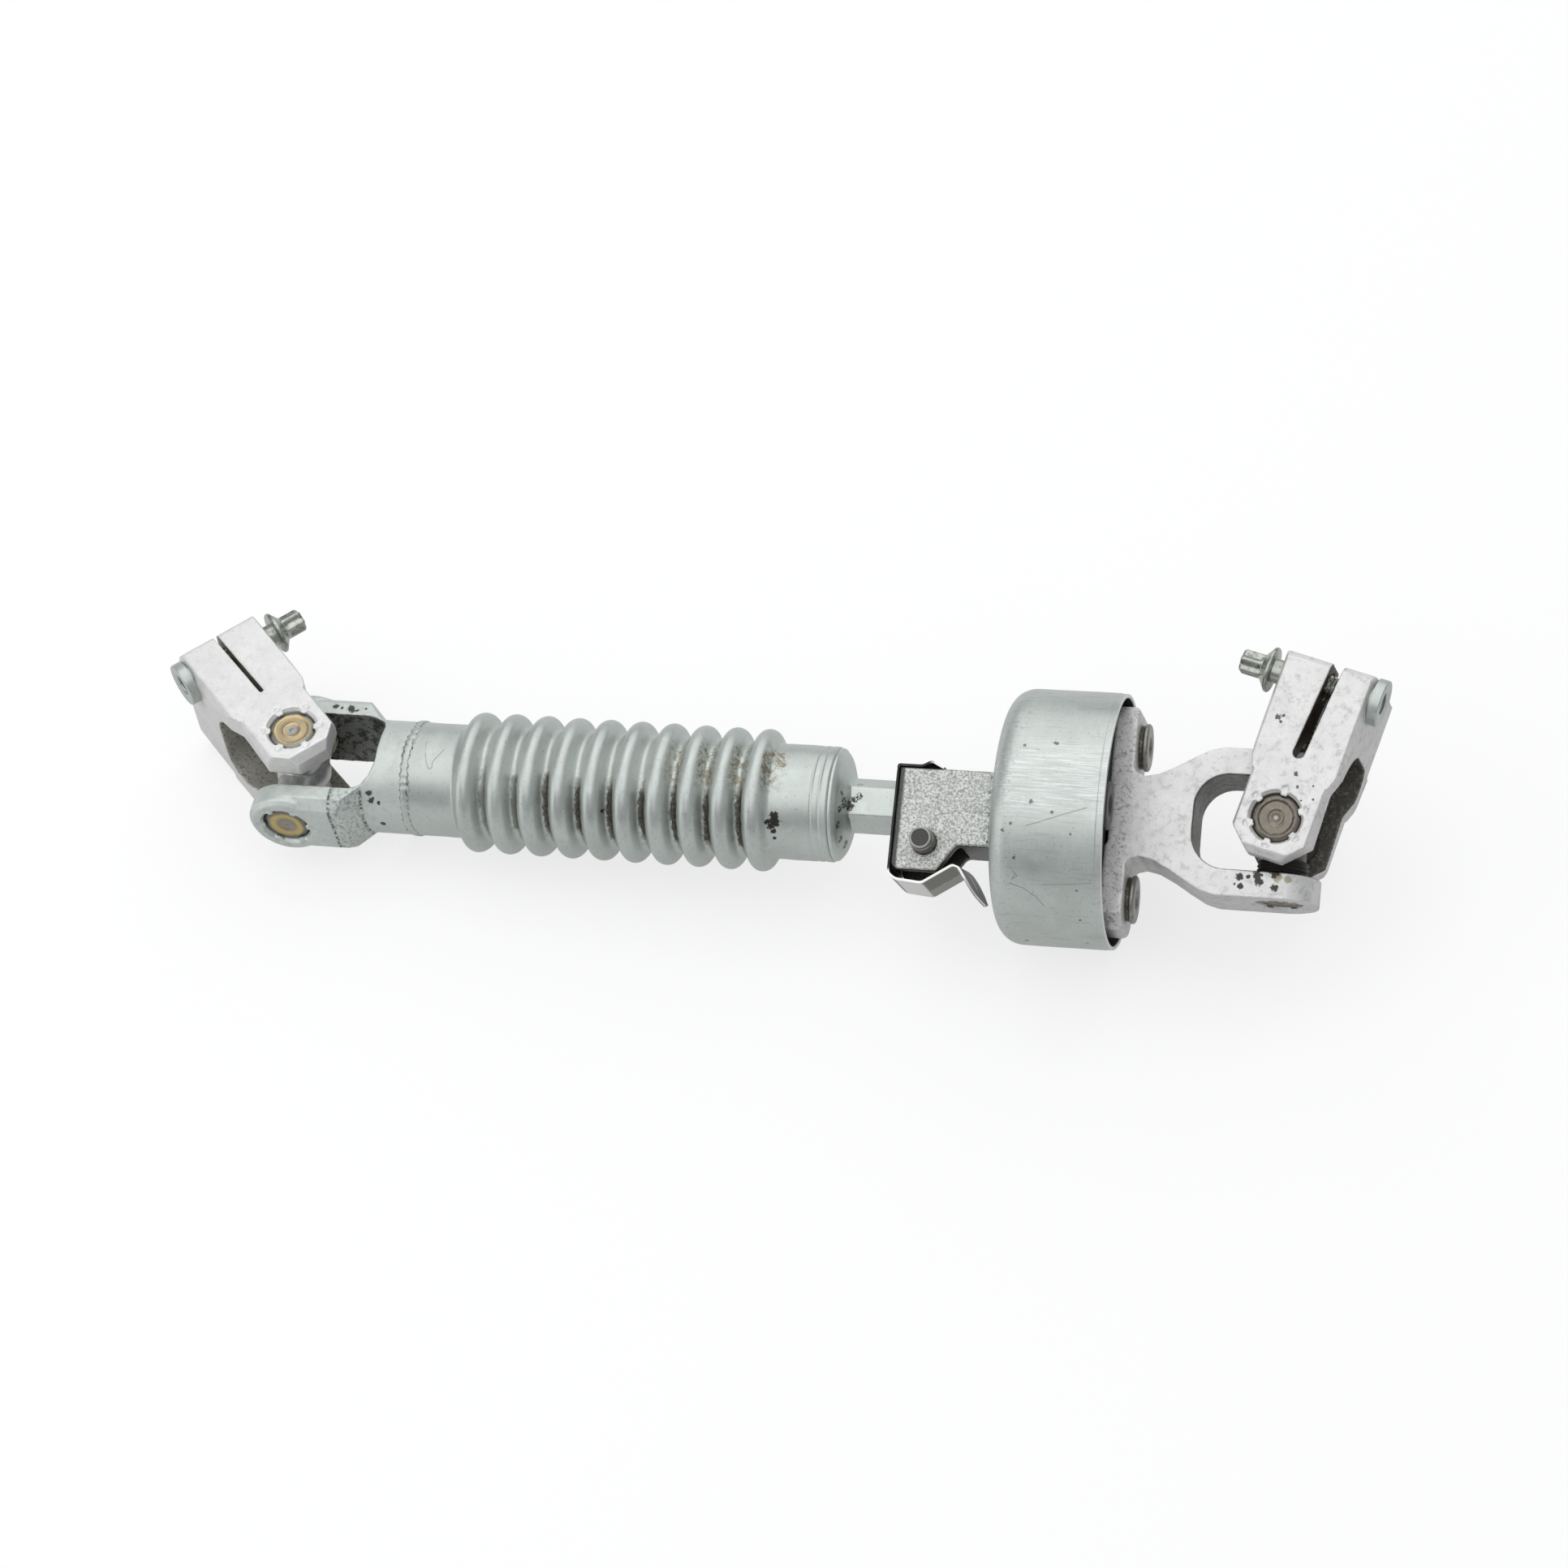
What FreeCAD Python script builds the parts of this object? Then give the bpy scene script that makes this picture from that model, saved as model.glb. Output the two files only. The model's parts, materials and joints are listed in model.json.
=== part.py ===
"""Intermediate steering shaft, lying at rest on a flat floor.

A corrugated steel tube carries a universal joint at its left end and a hexagonal
slip shaft at its right end. The slip shaft sits in an open jaw, which drives a
rubber disc inside a pressed cup. A forged yoke on the disc carries the second
universal joint. Each universal joint ends in a split clamp yoke for a splined shaft.
All sizes are in millimetres.
"""
import os
from math import acos, asin, atan2, cos, degrees, hypot, pi, radians, sin, sqrt

import FreeCAD
import Part

V = FreeCAD.Vector

# universal joints, the same at both ends
cross_reach = 23.0            # cross centre to the outer face of a bearing cap
cap_recess = 1.0              # depth of a cap below the face of its ear
ear_thickness = 8.7
cap_radius = 8.0
cap_length = 8.6
cap_end = 1.7
cap_bore_radius = 6.8
cap_dish_radius = 5.6
cap_dish_depth = 0.45
cap_dimple_radius = 1.5
cap_dimple_depth = 0.5
cap_edge_round = 1.6
needle_radius = 1.0
needle_play = 0.02
needle_length = 5.6
needle_count = 13
trunnion_end_gap = 0.25
trunnion_chamfer = 0.6
cross_shoulder_radius = 7.2
cross_body_step = 3.0
seal_radius = 7.6
seal_width = 2.1
seal_play = 0.1
stake_count = 6
stake_lip_width = 2.2
stake_lip_reach = 0.9
stake_lip_height = 0.8
stake_notch_radius = 1.25
stake_notch_depth = 1.2
stake_lip_root = 0.3
ear_recess_play = 0.65

# clamp yokes
clamp_end = 52.5              # cross centre to the open end
clamp_half_width = 15.3
clamp_ear_half_width = 13.2
clamp_ear_end = 12.8
clamp_ear_corner = 7.6
clamp_waist = 13.0            # station of the narrowest part of the ear
clamp_waist_step = 0.6
clamp_step_end = 18.5         # station where the ear has widened into the block
clamp_step_in = 0.7
clamp_crease = 28.0           # station where the block has its full width
clamp_throat = 28.6           # cross centre to the throat wall
clamp_throat_round = 9.0
clamp_draft_width = 1.4       # slope of the forged edges: across the yoke
clamp_draft_depth = 4.2       # and down from the face
clamp_back_chamfer = 6.5
clamp_end_bevel = 2.0
clamp_ear_bevel = 4.0
clamp_bore_radius = 8.2
spline_count = 32
spline_depth = 0.65
spline_width = 0.85
left_slot_width = 1.5         # the left clamp has closed further than the right one
right_slot_width = 3.7
left_slot_lean = 1.4          # degrees that the slot leans towards the nut
right_slot_lean = 4.4
clamp_slot_start = 19.8
pinch_station = 46.0
pinch_depth = 8.3             # face of the yoke to the middle of the pinch bolt
pinch_hole_radius = 4.4

# pinch bolt, shown partly unscrewed, and the round clamp nut
bolt_radius = 4.0
bolt_core_radius = 3.35
bolt_unscrewed = 3.0          # gap between the bolt flange and the yoke
bolt_length = 30.5
bolt_point = 2.2
bolt_flange_radius = 7.4
bolt_flange_rim = 1.3
bolt_flange_cone = 2.0
bolt_head_radius = 4.15
bolt_head_length = 7.4
bolt_head_bevel = 0.7
bolt_lobe_groove = 1.0
bolt_lobe_offset = 0.35
bolt_lobe_count = 6
nut_radius = 7.6
nut_stand = 3.4
nut_seat_radius = 6.2
nut_seat_depth = 5.5
nut_round = 0.7

# tube yoke
tube_throat = 31.2
tube_throat_round = 10.0
tube_ear_half_depth = 13.0
tube_ear_chamfer = 3.6
tube_yoke_base = 27.0         # station where the fork has become a round base
tube_base_length = 14.8
tube_neck_length = 9.0        # slope from the ears' depth to the round base
tube_neck_round = 2.0
tube_spigot = 11.0

# corrugated tube
tube_radius = 19.0
tube_wall = 1.5
tube_length = 143.6
ring_count = 10
ring_lead = 21.2              # tube start to the middle of the first ring
ring_pitch = 10.9
ring_height = 4.45
ring_crest_radius = 3.3
ring_valley_radius = 1.6
weld_gap = 0.6
weld_width = 3.4
weld_height = 0.8
crimp_inset = 7.6             # tube end back to the second crimp groove
crimp_spacing = 3.0
crimp_width = 1.6
crimp_depth = 0.7

# end plug and hexagonal slip shaft
plug_depth = 18.0
plug_play = 0.02
plug_lip = 0.6
plug_lip_step = 0.5
crown_height = 3.0
crown_drop = 7.0              # tube radius less the radius at the crown's top
neck_length = 5.0
neck_step = 0.1
hex_across = 16.1
hex_bare = 13.0               # neck to the jaw
hex_grip = 19.4               # length inside the jaw
hex_end_chamfer = 1.2

# clamp jaw on the slip shaft
jaw_block = 15.0
jaw_ramp = 6.0
jaw_neck = 12.1
jaw_top = 11.6
jaw_bottom = 22.2
neck_bottom = 13.4
jaw_half_depth = 12.0
jaw_fit = 0.05
jaw_slot_play = 2.5
jaw_edge_round = 1.2
shank_radius = 9.0
jaw_bolt_back = 10.4          # front of the jaw to the cross bolt
jaw_bolt_drop = 13.0
jaw_bolt_radius = 3.9
jaw_bolt_stand = 8.0
jaw_bolt_point_radius = 3.1
jaw_bolt_point = 2.0
jaw_bolt_head_radius = 6.5
jaw_bolt_head = 6.0
jaw_bolt_notch = 0.2

# spring clip
clip_thickness = 0.9
clip_half_width = 11.8
clip_gap = 0.15
clip_hole_radius = 9.8
clip_hook_start = 5.8         # front of the jaw to the hook on top
clip_hook_half = 3.4
clip_hook_height = 2.4
clip_heel = 1.6
clip_sag_start = 10.8         # front of the jaw to the lowest bend
clip_sag = 3.4
clip_crest = 9.4              # lowest bend to the crest of the leaf
clip_crest_width = 2.2
clip_crest_fall = 0.8
clip_leaf = 8.4
clip_leaf_drop = 10.4
clip_leaf_half_width = 6.5
clip_tip_half_width = 2.0

# rubber coupling
joint_phase = 25.2            # turn of the right half about the shaft
cup_radius = 41.5
cup_wall = 1.5
cup_depth = 38.8
cup_flat = 23.5               # cup radius less the radius of its flat middle
cup_cone = 10.0               # cup radius less the radius where its cone ends
cup_cone_depth = 2.0
cup_bend = 3.15
cup_bend_depth = 3.1
cup_side_depth = 9.3
plate_back = 7.3              # cup's end wall to the plate
plate_thickness = 6.0
plate_arm_gap = 3.0
plate_half_width = 12.0
plate_boss = 3.0
disc_thickness = 22.2
disc_gap = 4.0
disc_hole_gap = 5.8
disc_edge_round = 2.0
sleeve_radius = 7.2
rivet_inset = 11.0            # edge of the disc to the middle of a rivet
rivet_radius = 5.0
rivet_hole_radius = 2.6
rivet_head_radius = 7.9
rivet_head = 2.8
rivet_outer_head = 3.0
rivet_head_round = 0.6

# flange yoke
fork_reach = 48.6             # front of the crossbar to the right cross centre
crossbar_thickness = 7.4
crossbar_gap = 3.5
crossbar_half_depth = 12.5
crossbar_corner = 4.5
crossbar_end_bevel = 1.2
crossbar_relief_half = 10.0
crossbar_relief = 0.9
fork_neck_inset = 11.8        # rivet circle less the half width of the neck
fork_fillet = 2.6
fork_neck_start = 3.9
fork_neck_bend = 4.4          # neck start to the bend where the fork begins to widen
fork_neck_rise = 0.9
fork_throat = 28.4            # right cross centre back to the throat wall
fork_throat_round = 11.0
fork_flare_foot = 35.0        # right cross centre back to the foot of the flare
fork_flare_middle = 29.0
fork_flare_shoulder = 24.5
fork_flare = 20.0
fork_flare_rise = 3.6
fork_shoulder_drop = 1.1
fork_ear_half_depth = 12.5

# resting pose
left_bend = 44.43             # left clamp yoke, turned flat on the floor
right_bend = 74.9
right_cross_tilt = -2.96

# places that follow from the sizes above
ear_face = cross_reach + cap_recess
fork_gap = ear_face - ear_thickness
cross_shoulder = cross_reach - cap_length - seal_width - seal_play
cross_body_radius = cross_shoulder - cross_body_step
trunnion_radius = cap_bore_radius - 2 * needle_radius - needle_play
ear_recess_radius = cap_radius + ear_recess_play
pinch_height = ear_face - pinch_depth
tube_yoke_end = tube_yoke_base + tube_base_length
tube_start = tube_yoke_end + weld_gap
tube_end = tube_start + tube_length
ring_first = tube_start + ring_lead
ring_radius = tube_radius + ring_height
crimp_second = tube_end - crimp_inset
crimp_first = crimp_second - crimp_spacing
plug_start = tube_end - plug_depth
plug_face = tube_end + plug_lip
plug_crown = plug_face + crown_height
plug_crown_radius = tube_radius - crown_drop
plug_neck = plug_crown + neck_length
hex_corner = hex_across / sqrt(3)
jaw_start = plug_neck + hex_bare
hex_end = jaw_start + hex_grip
jaw_slot_end = hex_end + jaw_slot_play
jaw_block_end = jaw_start + jaw_block
jaw_ramp_end = jaw_block_end + jaw_ramp
jaw_bolt_station = jaw_start + jaw_bolt_back
cup_start = jaw_ramp_end + jaw_neck
cup_flat_radius = cup_radius - cup_flat
cup_shoulder = cup_start + cup_cone_depth
cup_shoulder_radius = cup_radius - cup_cone
cup_bend_end = cup_start + cup_bend_depth
cup_bend_radius = cup_radius - cup_bend
cup_side = cup_start + cup_side_depth
cup_rim = cup_start + cup_depth
plate_start = cup_start + plate_back
plate_end = plate_start + plate_thickness
disc_end = plate_end + disc_thickness
disc_radius = cup_radius - cup_wall - disc_gap
rivet_circle = disc_radius - rivet_inset
disc_hole_radius = rivet_circle - sleeve_radius - disc_hole_gap
plate_half_length = disc_radius - plate_arm_gap
crossbar_end = disc_end + crossbar_thickness
crossbar_half_length = cup_radius - cup_wall - crossbar_gap
fork_neck_half = rivet_circle - fork_neck_inset
fork_neck = crossbar_end + fork_neck_start
right_centre = crossbar_end + fork_reach
left_height = ear_face
rest_angle = atan2(cup_radius, cup_side) - asin(left_height / hypot(cup_side, cup_radius))
shaft_rise = degrees(rest_angle)


def cylinder(radius, start, end, direction="x"):
    """Round bar from start to end along one axis."""
    point = {"x": V(start, 0, 0), "y": V(0, start, 0), "z": V(0, 0, start)}[direction]
    along = {"x": V(1, 0, 0), "y": V(0, 1, 0), "z": V(0, 0, 1)}[direction]
    return Part.makeCylinder(radius, end - start, point, along)


def ring(outer, inner, start, end, direction="x"):
    """Round ring from start to end along one axis."""
    return cylinder(outer, start, end, direction).cut(cylinder(inner, start - 1, end + 1, direction))


def block(x0, x1, y0, y1, z0, z1):
    """Box between two corners."""
    return Part.makeBox(x1 - x0, y1 - y0, z1 - z0, V(x0, y0, z0))


def prism(outline, bottom, top):
    """Outline in x and y, raised from bottom to top."""
    wire = Part.makePolygon([V(x, y, bottom) for x, y in outline + outline[:1]])
    return Part.Face(wire).extrude(V(0, 0, top - bottom))


def side_prism(outline, left, right):
    """Outline in x and z, drawn out along y."""
    wire = Part.makePolygon([V(x, left, z) for x, z in outline + outline[:1]])
    return Part.Face(wire).extrude(V(0, right - left, 0))


def end_prism(outline, start, end):
    """Outline in y and z, drawn out along x."""
    wire = Part.makePolygon([V(start, y, z) for y, z in outline + outline[:1]])
    return Part.Face(wire).extrude(V(end - start, 0, 0))


def turned(edges):
    """Turn a half section, given as edges in x and radius, about the x axis."""
    wire = Part.Wire(Part.__sortEdges__(edges))
    return Part.Face(wire).revolve(V(0, 0, 0), V(1, 0, 0), 360)


def line(a, b):
    """Straight edge of a half section."""
    return Part.LineSegment(V(a[0], a[1], 0), V(b[0], b[1], 0)).toShape()


def arc(a, b, c):
    """Curved edge of a half section through three points."""
    return Part.Arc(V(a[0], a[1], 0), V(b[0], b[1], 0), V(c[0], c[1], 0)).toShape()


def path(points):
    """Chain of straight edges."""
    return [line(points[i], points[i + 1]) for i in range(len(points) - 1)]


def edges_where(shape, test):
    """Edges whose end points all pass a test."""
    return [edge for edge in shape.Edges if all(test(vertex.Point) for vertex in edge.Vertexes)]


def near(value, target):
    """True when two sizes agree."""
    return abs(value - target) < 1e-4


def placed(shape, placement):
    """Copy of a shape moved to its place."""
    copy = shape.copy()
    copy.Placement = placement.multiply(copy.Placement)
    return copy


def turn(axis, angle):
    """Placement that turns about an axis through the origin."""
    return FreeCAD.Placement(V(0, 0, 0), FreeCAD.Rotation(axis, angle))


def shift(x, y, z):
    """Placement that moves without turning."""
    return FreeCAD.Placement(V(x, y, z), FreeCAD.Rotation())


def bearing_cap():
    """Drawn cup over one trunnion, standing along z, with a dished end."""
    inner = cross_reach - cap_length
    cap = cylinder(cap_radius, inner, cross_reach, "z")
    rim = edges_where(cap, lambda p: near(p.z, cross_reach))
    cap = cap.makeFillet(cap_edge_round, rim)
    cap = cap.cut(cylinder(cap_bore_radius, inner - 1, cross_reach - cap_end, "z"))
    rise = 1.5 * cap_dimple_radius
    dish = ring(cap_dish_radius, rise, cross_reach - cap_dish_depth, cross_reach + 1, "z")
    dimple = cylinder(cap_dimple_radius, cross_reach - cap_dimple_depth, cross_reach + 1, "z")
    return cap.cut(dish).cut(dimple)


def needle_set():
    """Full ring of needle rollers round one trunnion, standing along z."""
    pitch = trunnion_radius + needle_radius + needle_play / 2
    top = cross_reach - cap_end - trunnion_end_gap
    rollers = []
    for index in range(needle_count):
        angle = 2 * pi * index / needle_count
        spot = V(pitch * cos(angle), pitch * sin(angle), top - needle_length)
        rollers.append(Part.makeCylinder(needle_radius - needle_play / 2, needle_length, spot))
    return rollers


def seal_ring():
    """Lip seal between the cross shoulder and the cap mouth, standing along z."""
    top = cross_reach - cap_length - seal_play
    return ring(seal_radius, trunnion_radius, cross_shoulder, top, "z")


def cross_body():
    """Four trunnions on one forged body, pins along y and z."""
    reach = cross_reach - cap_end - trunnion_end_gap
    body = Part.makeSphere(cross_body_radius)
    for axis in ("y", "z"):
        bar = cylinder(trunnion_radius, -reach, reach, axis)
        ends = edges_where(bar, lambda p: near(max(abs(p.y), abs(p.z)), reach))
        bar = bar.makeChamfer(trunnion_chamfer, [edge for edge in ends if len(edge.Vertexes) == 1])
        body = body.fuse(bar)
        body = body.fuse(cylinder(cross_shoulder_radius, -cross_shoulder, cross_shoulder, axis))
    return body.removeSplitter()


def both_ends(shape):
    """A shape standing along +z and its twin along -z."""
    return [shape, placed(shape, turn(V(1, 0, 0), 180))]


def along_y(shapes):
    """Turn shapes from the z axis to the y axis."""
    return [placed(shape, turn(V(1, 0, 0), 90)) for shape in shapes]


def staked_hole():
    """Cutter for a cap bore along +z: bore, recess and the notches behind the stakes."""
    cutter = cylinder(cap_radius, 0, ear_face + 1, "z")
    cutter = cutter.fuse(cylinder(ear_recess_radius, cross_reach, ear_face + 1, "z"))
    notch_circle = ear_recess_radius + stake_notch_radius / 2
    for index in range(stake_count):
        angle = 2 * pi * index / stake_count
        spot = V(notch_circle * cos(angle), notch_circle * sin(angle), ear_face - stake_notch_depth / 2)
        cutter = cutter.fuse(Part.makeCylinder(stake_notch_radius, stake_notch_depth, spot))
    return cutter


def stake_lips():
    """Lips of ear metal pushed over the edge of a cap, round +z."""
    lips = []
    for index in range(stake_count):
        angle = 360 * index / stake_count
        inner = cap_radius - stake_lip_reach
        half = stake_lip_width / 2
        outer = ear_recess_radius + stake_lip_root
        lip = block(inner, outer, -half, half, cross_reach, cross_reach + stake_lip_height)
        lips.append(placed(lip, turn(V(0, 0, 1), angle)))
    return lips


def drafted(half, face, front, back, start, end):
    """Bar along x whose long edges slope in towards the faces; each slope is (across, down)."""
    outline = [
        (half, face - front[1]), (half - front[0], face), (front[0] - half, face), (-half, face - front[1]),
        (-half, back[1] - face), (back[0] - half, -face), (half - back[0], -face), (half, back[1] - face),
    ]
    return end_prism(outline, start, end)


def clamp_yoke(slot_width, slot_lean):
    """Forged clamp yoke, pin along z, clamp end along +x, split on its +z face."""
    corner = clamp_ear_corner
    half = clamp_ear_half_width
    waist = half - clamp_waist_step
    wide = clamp_half_width
    draft = (clamp_draft_width, clamp_draft_depth)
    back = (clamp_back_chamfer, clamp_back_chamfer)
    side = [(-clamp_ear_end, half - corner), (corner - clamp_ear_end, half), (clamp_waist, waist)]
    ears = prism(side + [(x, -y) for x, y in reversed(side)], -ear_face, ear_face)
    ears = ears.common(drafted(half, ear_face, draft, draft, -clamp_ear_end, clamp_waist))
    side = [(clamp_waist, waist), (clamp_step_end, wide - clamp_step_in), (clamp_crease, wide)]
    shoulder = prism(side + [(x, -y) for x, y in reversed(side)], -ear_face, ear_face)
    shoulder = shoulder.common(drafted(wide, ear_face, draft, draft, clamp_waist, clamp_crease))
    body = drafted(wide, ear_face, draft, back, clamp_crease, clamp_end).fuse(shoulder).fuse(ears)
    throat = block(-clamp_ear_end - 1, clamp_throat, -2 * wide, 2 * wide, -fork_gap, fork_gap)
    inner_edges = edges_where(throat, lambda p: near(p.x, clamp_throat))
    inner_edges = [e for e in inner_edges if near(e.Vertexes[0].Point.z, e.Vertexes[1].Point.z)]
    throat = throat.makeFillet(clamp_throat_round, inner_edges)
    body = body.cut(throat)
    for face in (-1, 1):
        z0 = face * ear_face
        x0 = -clamp_ear_end
        bevel = side_prism([(x0 - 1, z0 + face), (x0 - 1, z0 - face * (clamp_ear_bevel + 1)),
                            (x0 + clamp_ear_bevel / 2 + 0.5, z0 + face)], -2 * wide, 2 * wide)
        body = body.cut(bevel)
        size = clamp_end_bevel + 1
        bevel = side_prism([(clamp_end + 1, z0 + face), (clamp_end + 1, z0 - face * size),
                            (clamp_end - size, z0 + face)], -2 * wide, 2 * wide)
        body = body.cut(bevel)
    body = body.cut(cylinder(clamp_bore_radius, clamp_throat - 2, clamp_end + 1))
    for index in range(spline_count):
        groove = prism([(clamp_throat - 2, -spline_width / 2), (clamp_end + 1, -spline_width / 2),
                        (clamp_end + 1, spline_width / 2), (clamp_throat - 2, spline_width / 2)],
                       clamp_bore_radius - 1, clamp_bore_radius + spline_depth)
        body = body.cut(placed(groove, turn(V(1, 0, 0), 360 * (index + 0.5) / spline_count)))
    slot_round = clamp_slot_start + slot_width / 2
    reach = clamp_end - slot_round + slot_width
    slot = block(0, reach, -slot_width / 2, slot_width / 2, 0, ear_face + 1)
    slot = slot.fuse(Part.makeCylinder(slot_width / 2, ear_face + 1))
    slot_place = shift(slot_round, 0, 0).multiply(turn(V(0, 0, 1), -slot_lean))
    body = body.cut(placed(slot, slot_place))
    pinch = cylinder(pinch_hole_radius, -2 * wide, 2 * wide, "y")
    body = body.cut(placed(pinch, shift(pinch_station, 0, pinch_height)))
    for hole in both_ends(staked_hole()):
        body = body.cut(hole)
    for lip in stake_lips():
        for one in both_ends(lip):
            body = body.fuse(one)
    return body


def pinch_bolt():
    """Flanged bolt with a lobed head, along y, head towards +y, in the clamp yoke's frame."""
    seat = clamp_half_width + bolt_unscrewed
    tip = seat - bolt_length
    neck_top = seat + bolt_flange_rim + bolt_flange_cone
    head_top = neck_top + bolt_head_length
    profile = path([
        (tip, 0), (tip, bolt_core_radius), (tip + bolt_point, bolt_core_radius),
        (tip + bolt_point + bolt_radius - bolt_core_radius, bolt_radius), (seat, bolt_radius),
        (seat, bolt_flange_radius), (seat + bolt_flange_rim, bolt_flange_radius),
        (neck_top, bolt_head_radius), (head_top - bolt_head_bevel, bolt_head_radius),
        (head_top, bolt_head_radius - bolt_head_bevel),
        (head_top, 0), (tip, 0),
    ])
    bolt = turned(profile)
    lobe_circle = bolt_head_radius + bolt_lobe_offset
    for index in range(bolt_lobe_count):
        angle = 2 * pi * index / bolt_lobe_count
        spot = V(neck_top, lobe_circle * cos(angle), lobe_circle * sin(angle))
        bolt = bolt.cut(Part.makeCylinder(bolt_lobe_groove, bolt_head_length + 1, spot, V(1, 0, 0)))
    bolt = placed(bolt, turn(V(0, 0, 1), 90))
    return placed(bolt, shift(pinch_station, 0, pinch_height))


def clamp_nut():
    """Round nut pressed into the far cheek, along y, standing proud of it on the -y side."""
    inner = clamp_half_width - nut_seat_depth
    outer = clamp_half_width + nut_stand
    nut = cylinder(nut_radius, -outer, -clamp_half_width, "y")
    rim = edges_where(nut, lambda p: near(p.y, -outer))
    nut = nut.makeFillet(nut_round, rim)
    nut = nut.fuse(cylinder(nut_seat_radius, -clamp_half_width, -inner, "y"))
    nut = nut.cut(cylinder(bolt_radius, -outer - 1, -inner + 1, "y"))
    return placed(nut, shift(pinch_station, 0, pinch_height))


def nut_seat():
    """Pocket for the clamp nut in the yoke."""
    inner = clamp_half_width - nut_seat_depth
    pocket = cylinder(nut_seat_radius, -clamp_half_width - 1, -inner, "y")
    return placed(pocket, shift(pinch_station, 0, pinch_height))


def tube_yoke():
    """Forged fork on the tube, pin along y, ears towards -x, round base towards +x."""
    depth = tube_ear_half_depth
    face = ear_face
    slope = (tube_ear_chamfer, tube_ear_chamfer)
    slab = drafted(face, depth, slope, slope, 0, tube_yoke_base + 1)
    ears = cylinder(depth, -face, face, "y")
    rims = edges_where(ears, lambda p: near(abs(p.y), face))
    ears = ears.makeChamfer(tube_ear_chamfer / 2, [e for e in rims if len(e.Vertexes) == 1])
    base = tube_yoke_base
    cone = turned(path([(0, 0), (0, face + 3), (base - 7, face + 2), (base + 2, tube_radius - 2), (base + 2, 0),
                        (0, 0)]))
    body = slab.common(cone.fuse(cylinder(tube_radius, 0, base)))
    body = body.fuse(ears)
    foot = base - tube_neck_length
    neck = turned(path([(foot, 0), (foot, depth), (base - tube_neck_round, tube_radius),
                        (tube_yoke_end, tube_radius), (tube_yoke_end, 0), (foot, 0)]))
    body = body.fuse(neck)
    spigot_radius = tube_radius - tube_wall - plug_play
    body = body.fuse(cylinder(spigot_radius, tube_yoke_end - 1, tube_yoke_end + tube_spigot))
    throat = block(-depth - 1, tube_throat, -fork_gap, fork_gap, -2 * depth, 2 * depth)
    corners = [e for e in edges_where(throat, lambda p: near(p.x, tube_throat))
               if near(e.Vertexes[0].Point.y, e.Vertexes[1].Point.y)]
    throat = throat.makeFillet(tube_throat_round, corners)
    body = body.cut(throat)
    for hole in along_y(both_ends(staked_hole())):
        body = body.cut(hole)
    for lip in stake_lips():
        for one in along_y(both_ends(lip)):
            body = body.fuse(one)
    return body


def ring_wave(depth):
    """Half section of the rings, a depth in from the outer surface, and the place where it ends.

    Each ring is a valley arc, a straight wall and a crest arc, then the same again in mirror image.
    The wall touches both arcs, so its lean comes from the line between their middles.
    """
    crest = ring_crest_radius - depth
    valley = ring_valley_radius + depth
    half = ring_pitch / 2
    drop = ring_height - ring_crest_radius - ring_valley_radius
    lean = acos((ring_crest_radius + ring_valley_radius) / hypot(half, drop)) - atan2(drop, half)
    crest_height = ring_radius - ring_crest_radius
    valley_height = tube_radius + ring_valley_radius
    part_way = (pi / 2 + lean) / 2
    floor = tube_radius - depth
    edges = [line((tube_start, floor), (ring_first - half, floor))]
    for index in range(ring_count):
        middle = ring_first + index * ring_pitch
        sides = []
        for side in (-1, 1):
            foot = middle + side * half
            sides.append((
                (foot, floor),
                (foot - side * valley * cos(part_way), valley_height - valley * sin(part_way)),
                (foot - side * valley * cos(lean), valley_height - valley * sin(lean)),
                (middle + side * crest * cos(lean), crest_height + crest * sin(lean)),
            ))
        (foot, bend, low, high), (next_foot, next_bend, next_low, next_high) = sides
        edges.append(arc(foot, bend, low))
        edges.append(line(low, high))
        edges.append(arc(high, (middle, crest_height + crest), next_high))
        edges.append(line(next_high, next_low))
        edges.append(arc(next_low, next_bend, next_foot))
    return edges, next_foot


def corrugated_tube():
    """Thin tube with rolled rings and two crimp grooves over the end plug."""
    inner = tube_radius - tube_wall
    outer_edges, spot = ring_wave(0)
    inner_edges, inner_spot = ring_wave(tube_wall)
    for middle in (crimp_first, crimp_second):
        start = (middle - crimp_width / 2, tube_radius)
        end = (middle + crimp_width / 2, tube_radius)
        outer_edges.append(line(spot, start))
        outer_edges.append(arc(start, (middle, tube_radius - crimp_depth), end))
        spot = end
    outer_edges.append(line(spot, (tube_end, tube_radius)))
    inner_edges.append(line(inner_spot, (tube_end, inner)))
    ends = [line((x, tube_radius), (x, inner)) for x in (tube_start, tube_end)]
    return turned(outer_edges + inner_edges + ends)


def weld_bead():
    """Rounded weld between the tube yoke and the tube."""
    middle = (tube_yoke_end + tube_start) / 2
    left = (middle - weld_width / 2, tube_radius)
    right = (middle + weld_width / 2, tube_radius)
    bead = turned([arc(left, (middle, tube_radius + weld_height), right), line(left, right)])
    root = ring(tube_radius, tube_radius - tube_wall, tube_yoke_end, tube_start)
    return bead.fuse(root)


def hexagon(across, start, end):
    """Hexagonal bar along x with a flat facing +z."""
    corner = across / sqrt(3)
    points = [(corner * cos(radians(60 * k)), corner * sin(radians(60 * k))) for k in range(6)]
    return end_prism(points, start, end)


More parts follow.
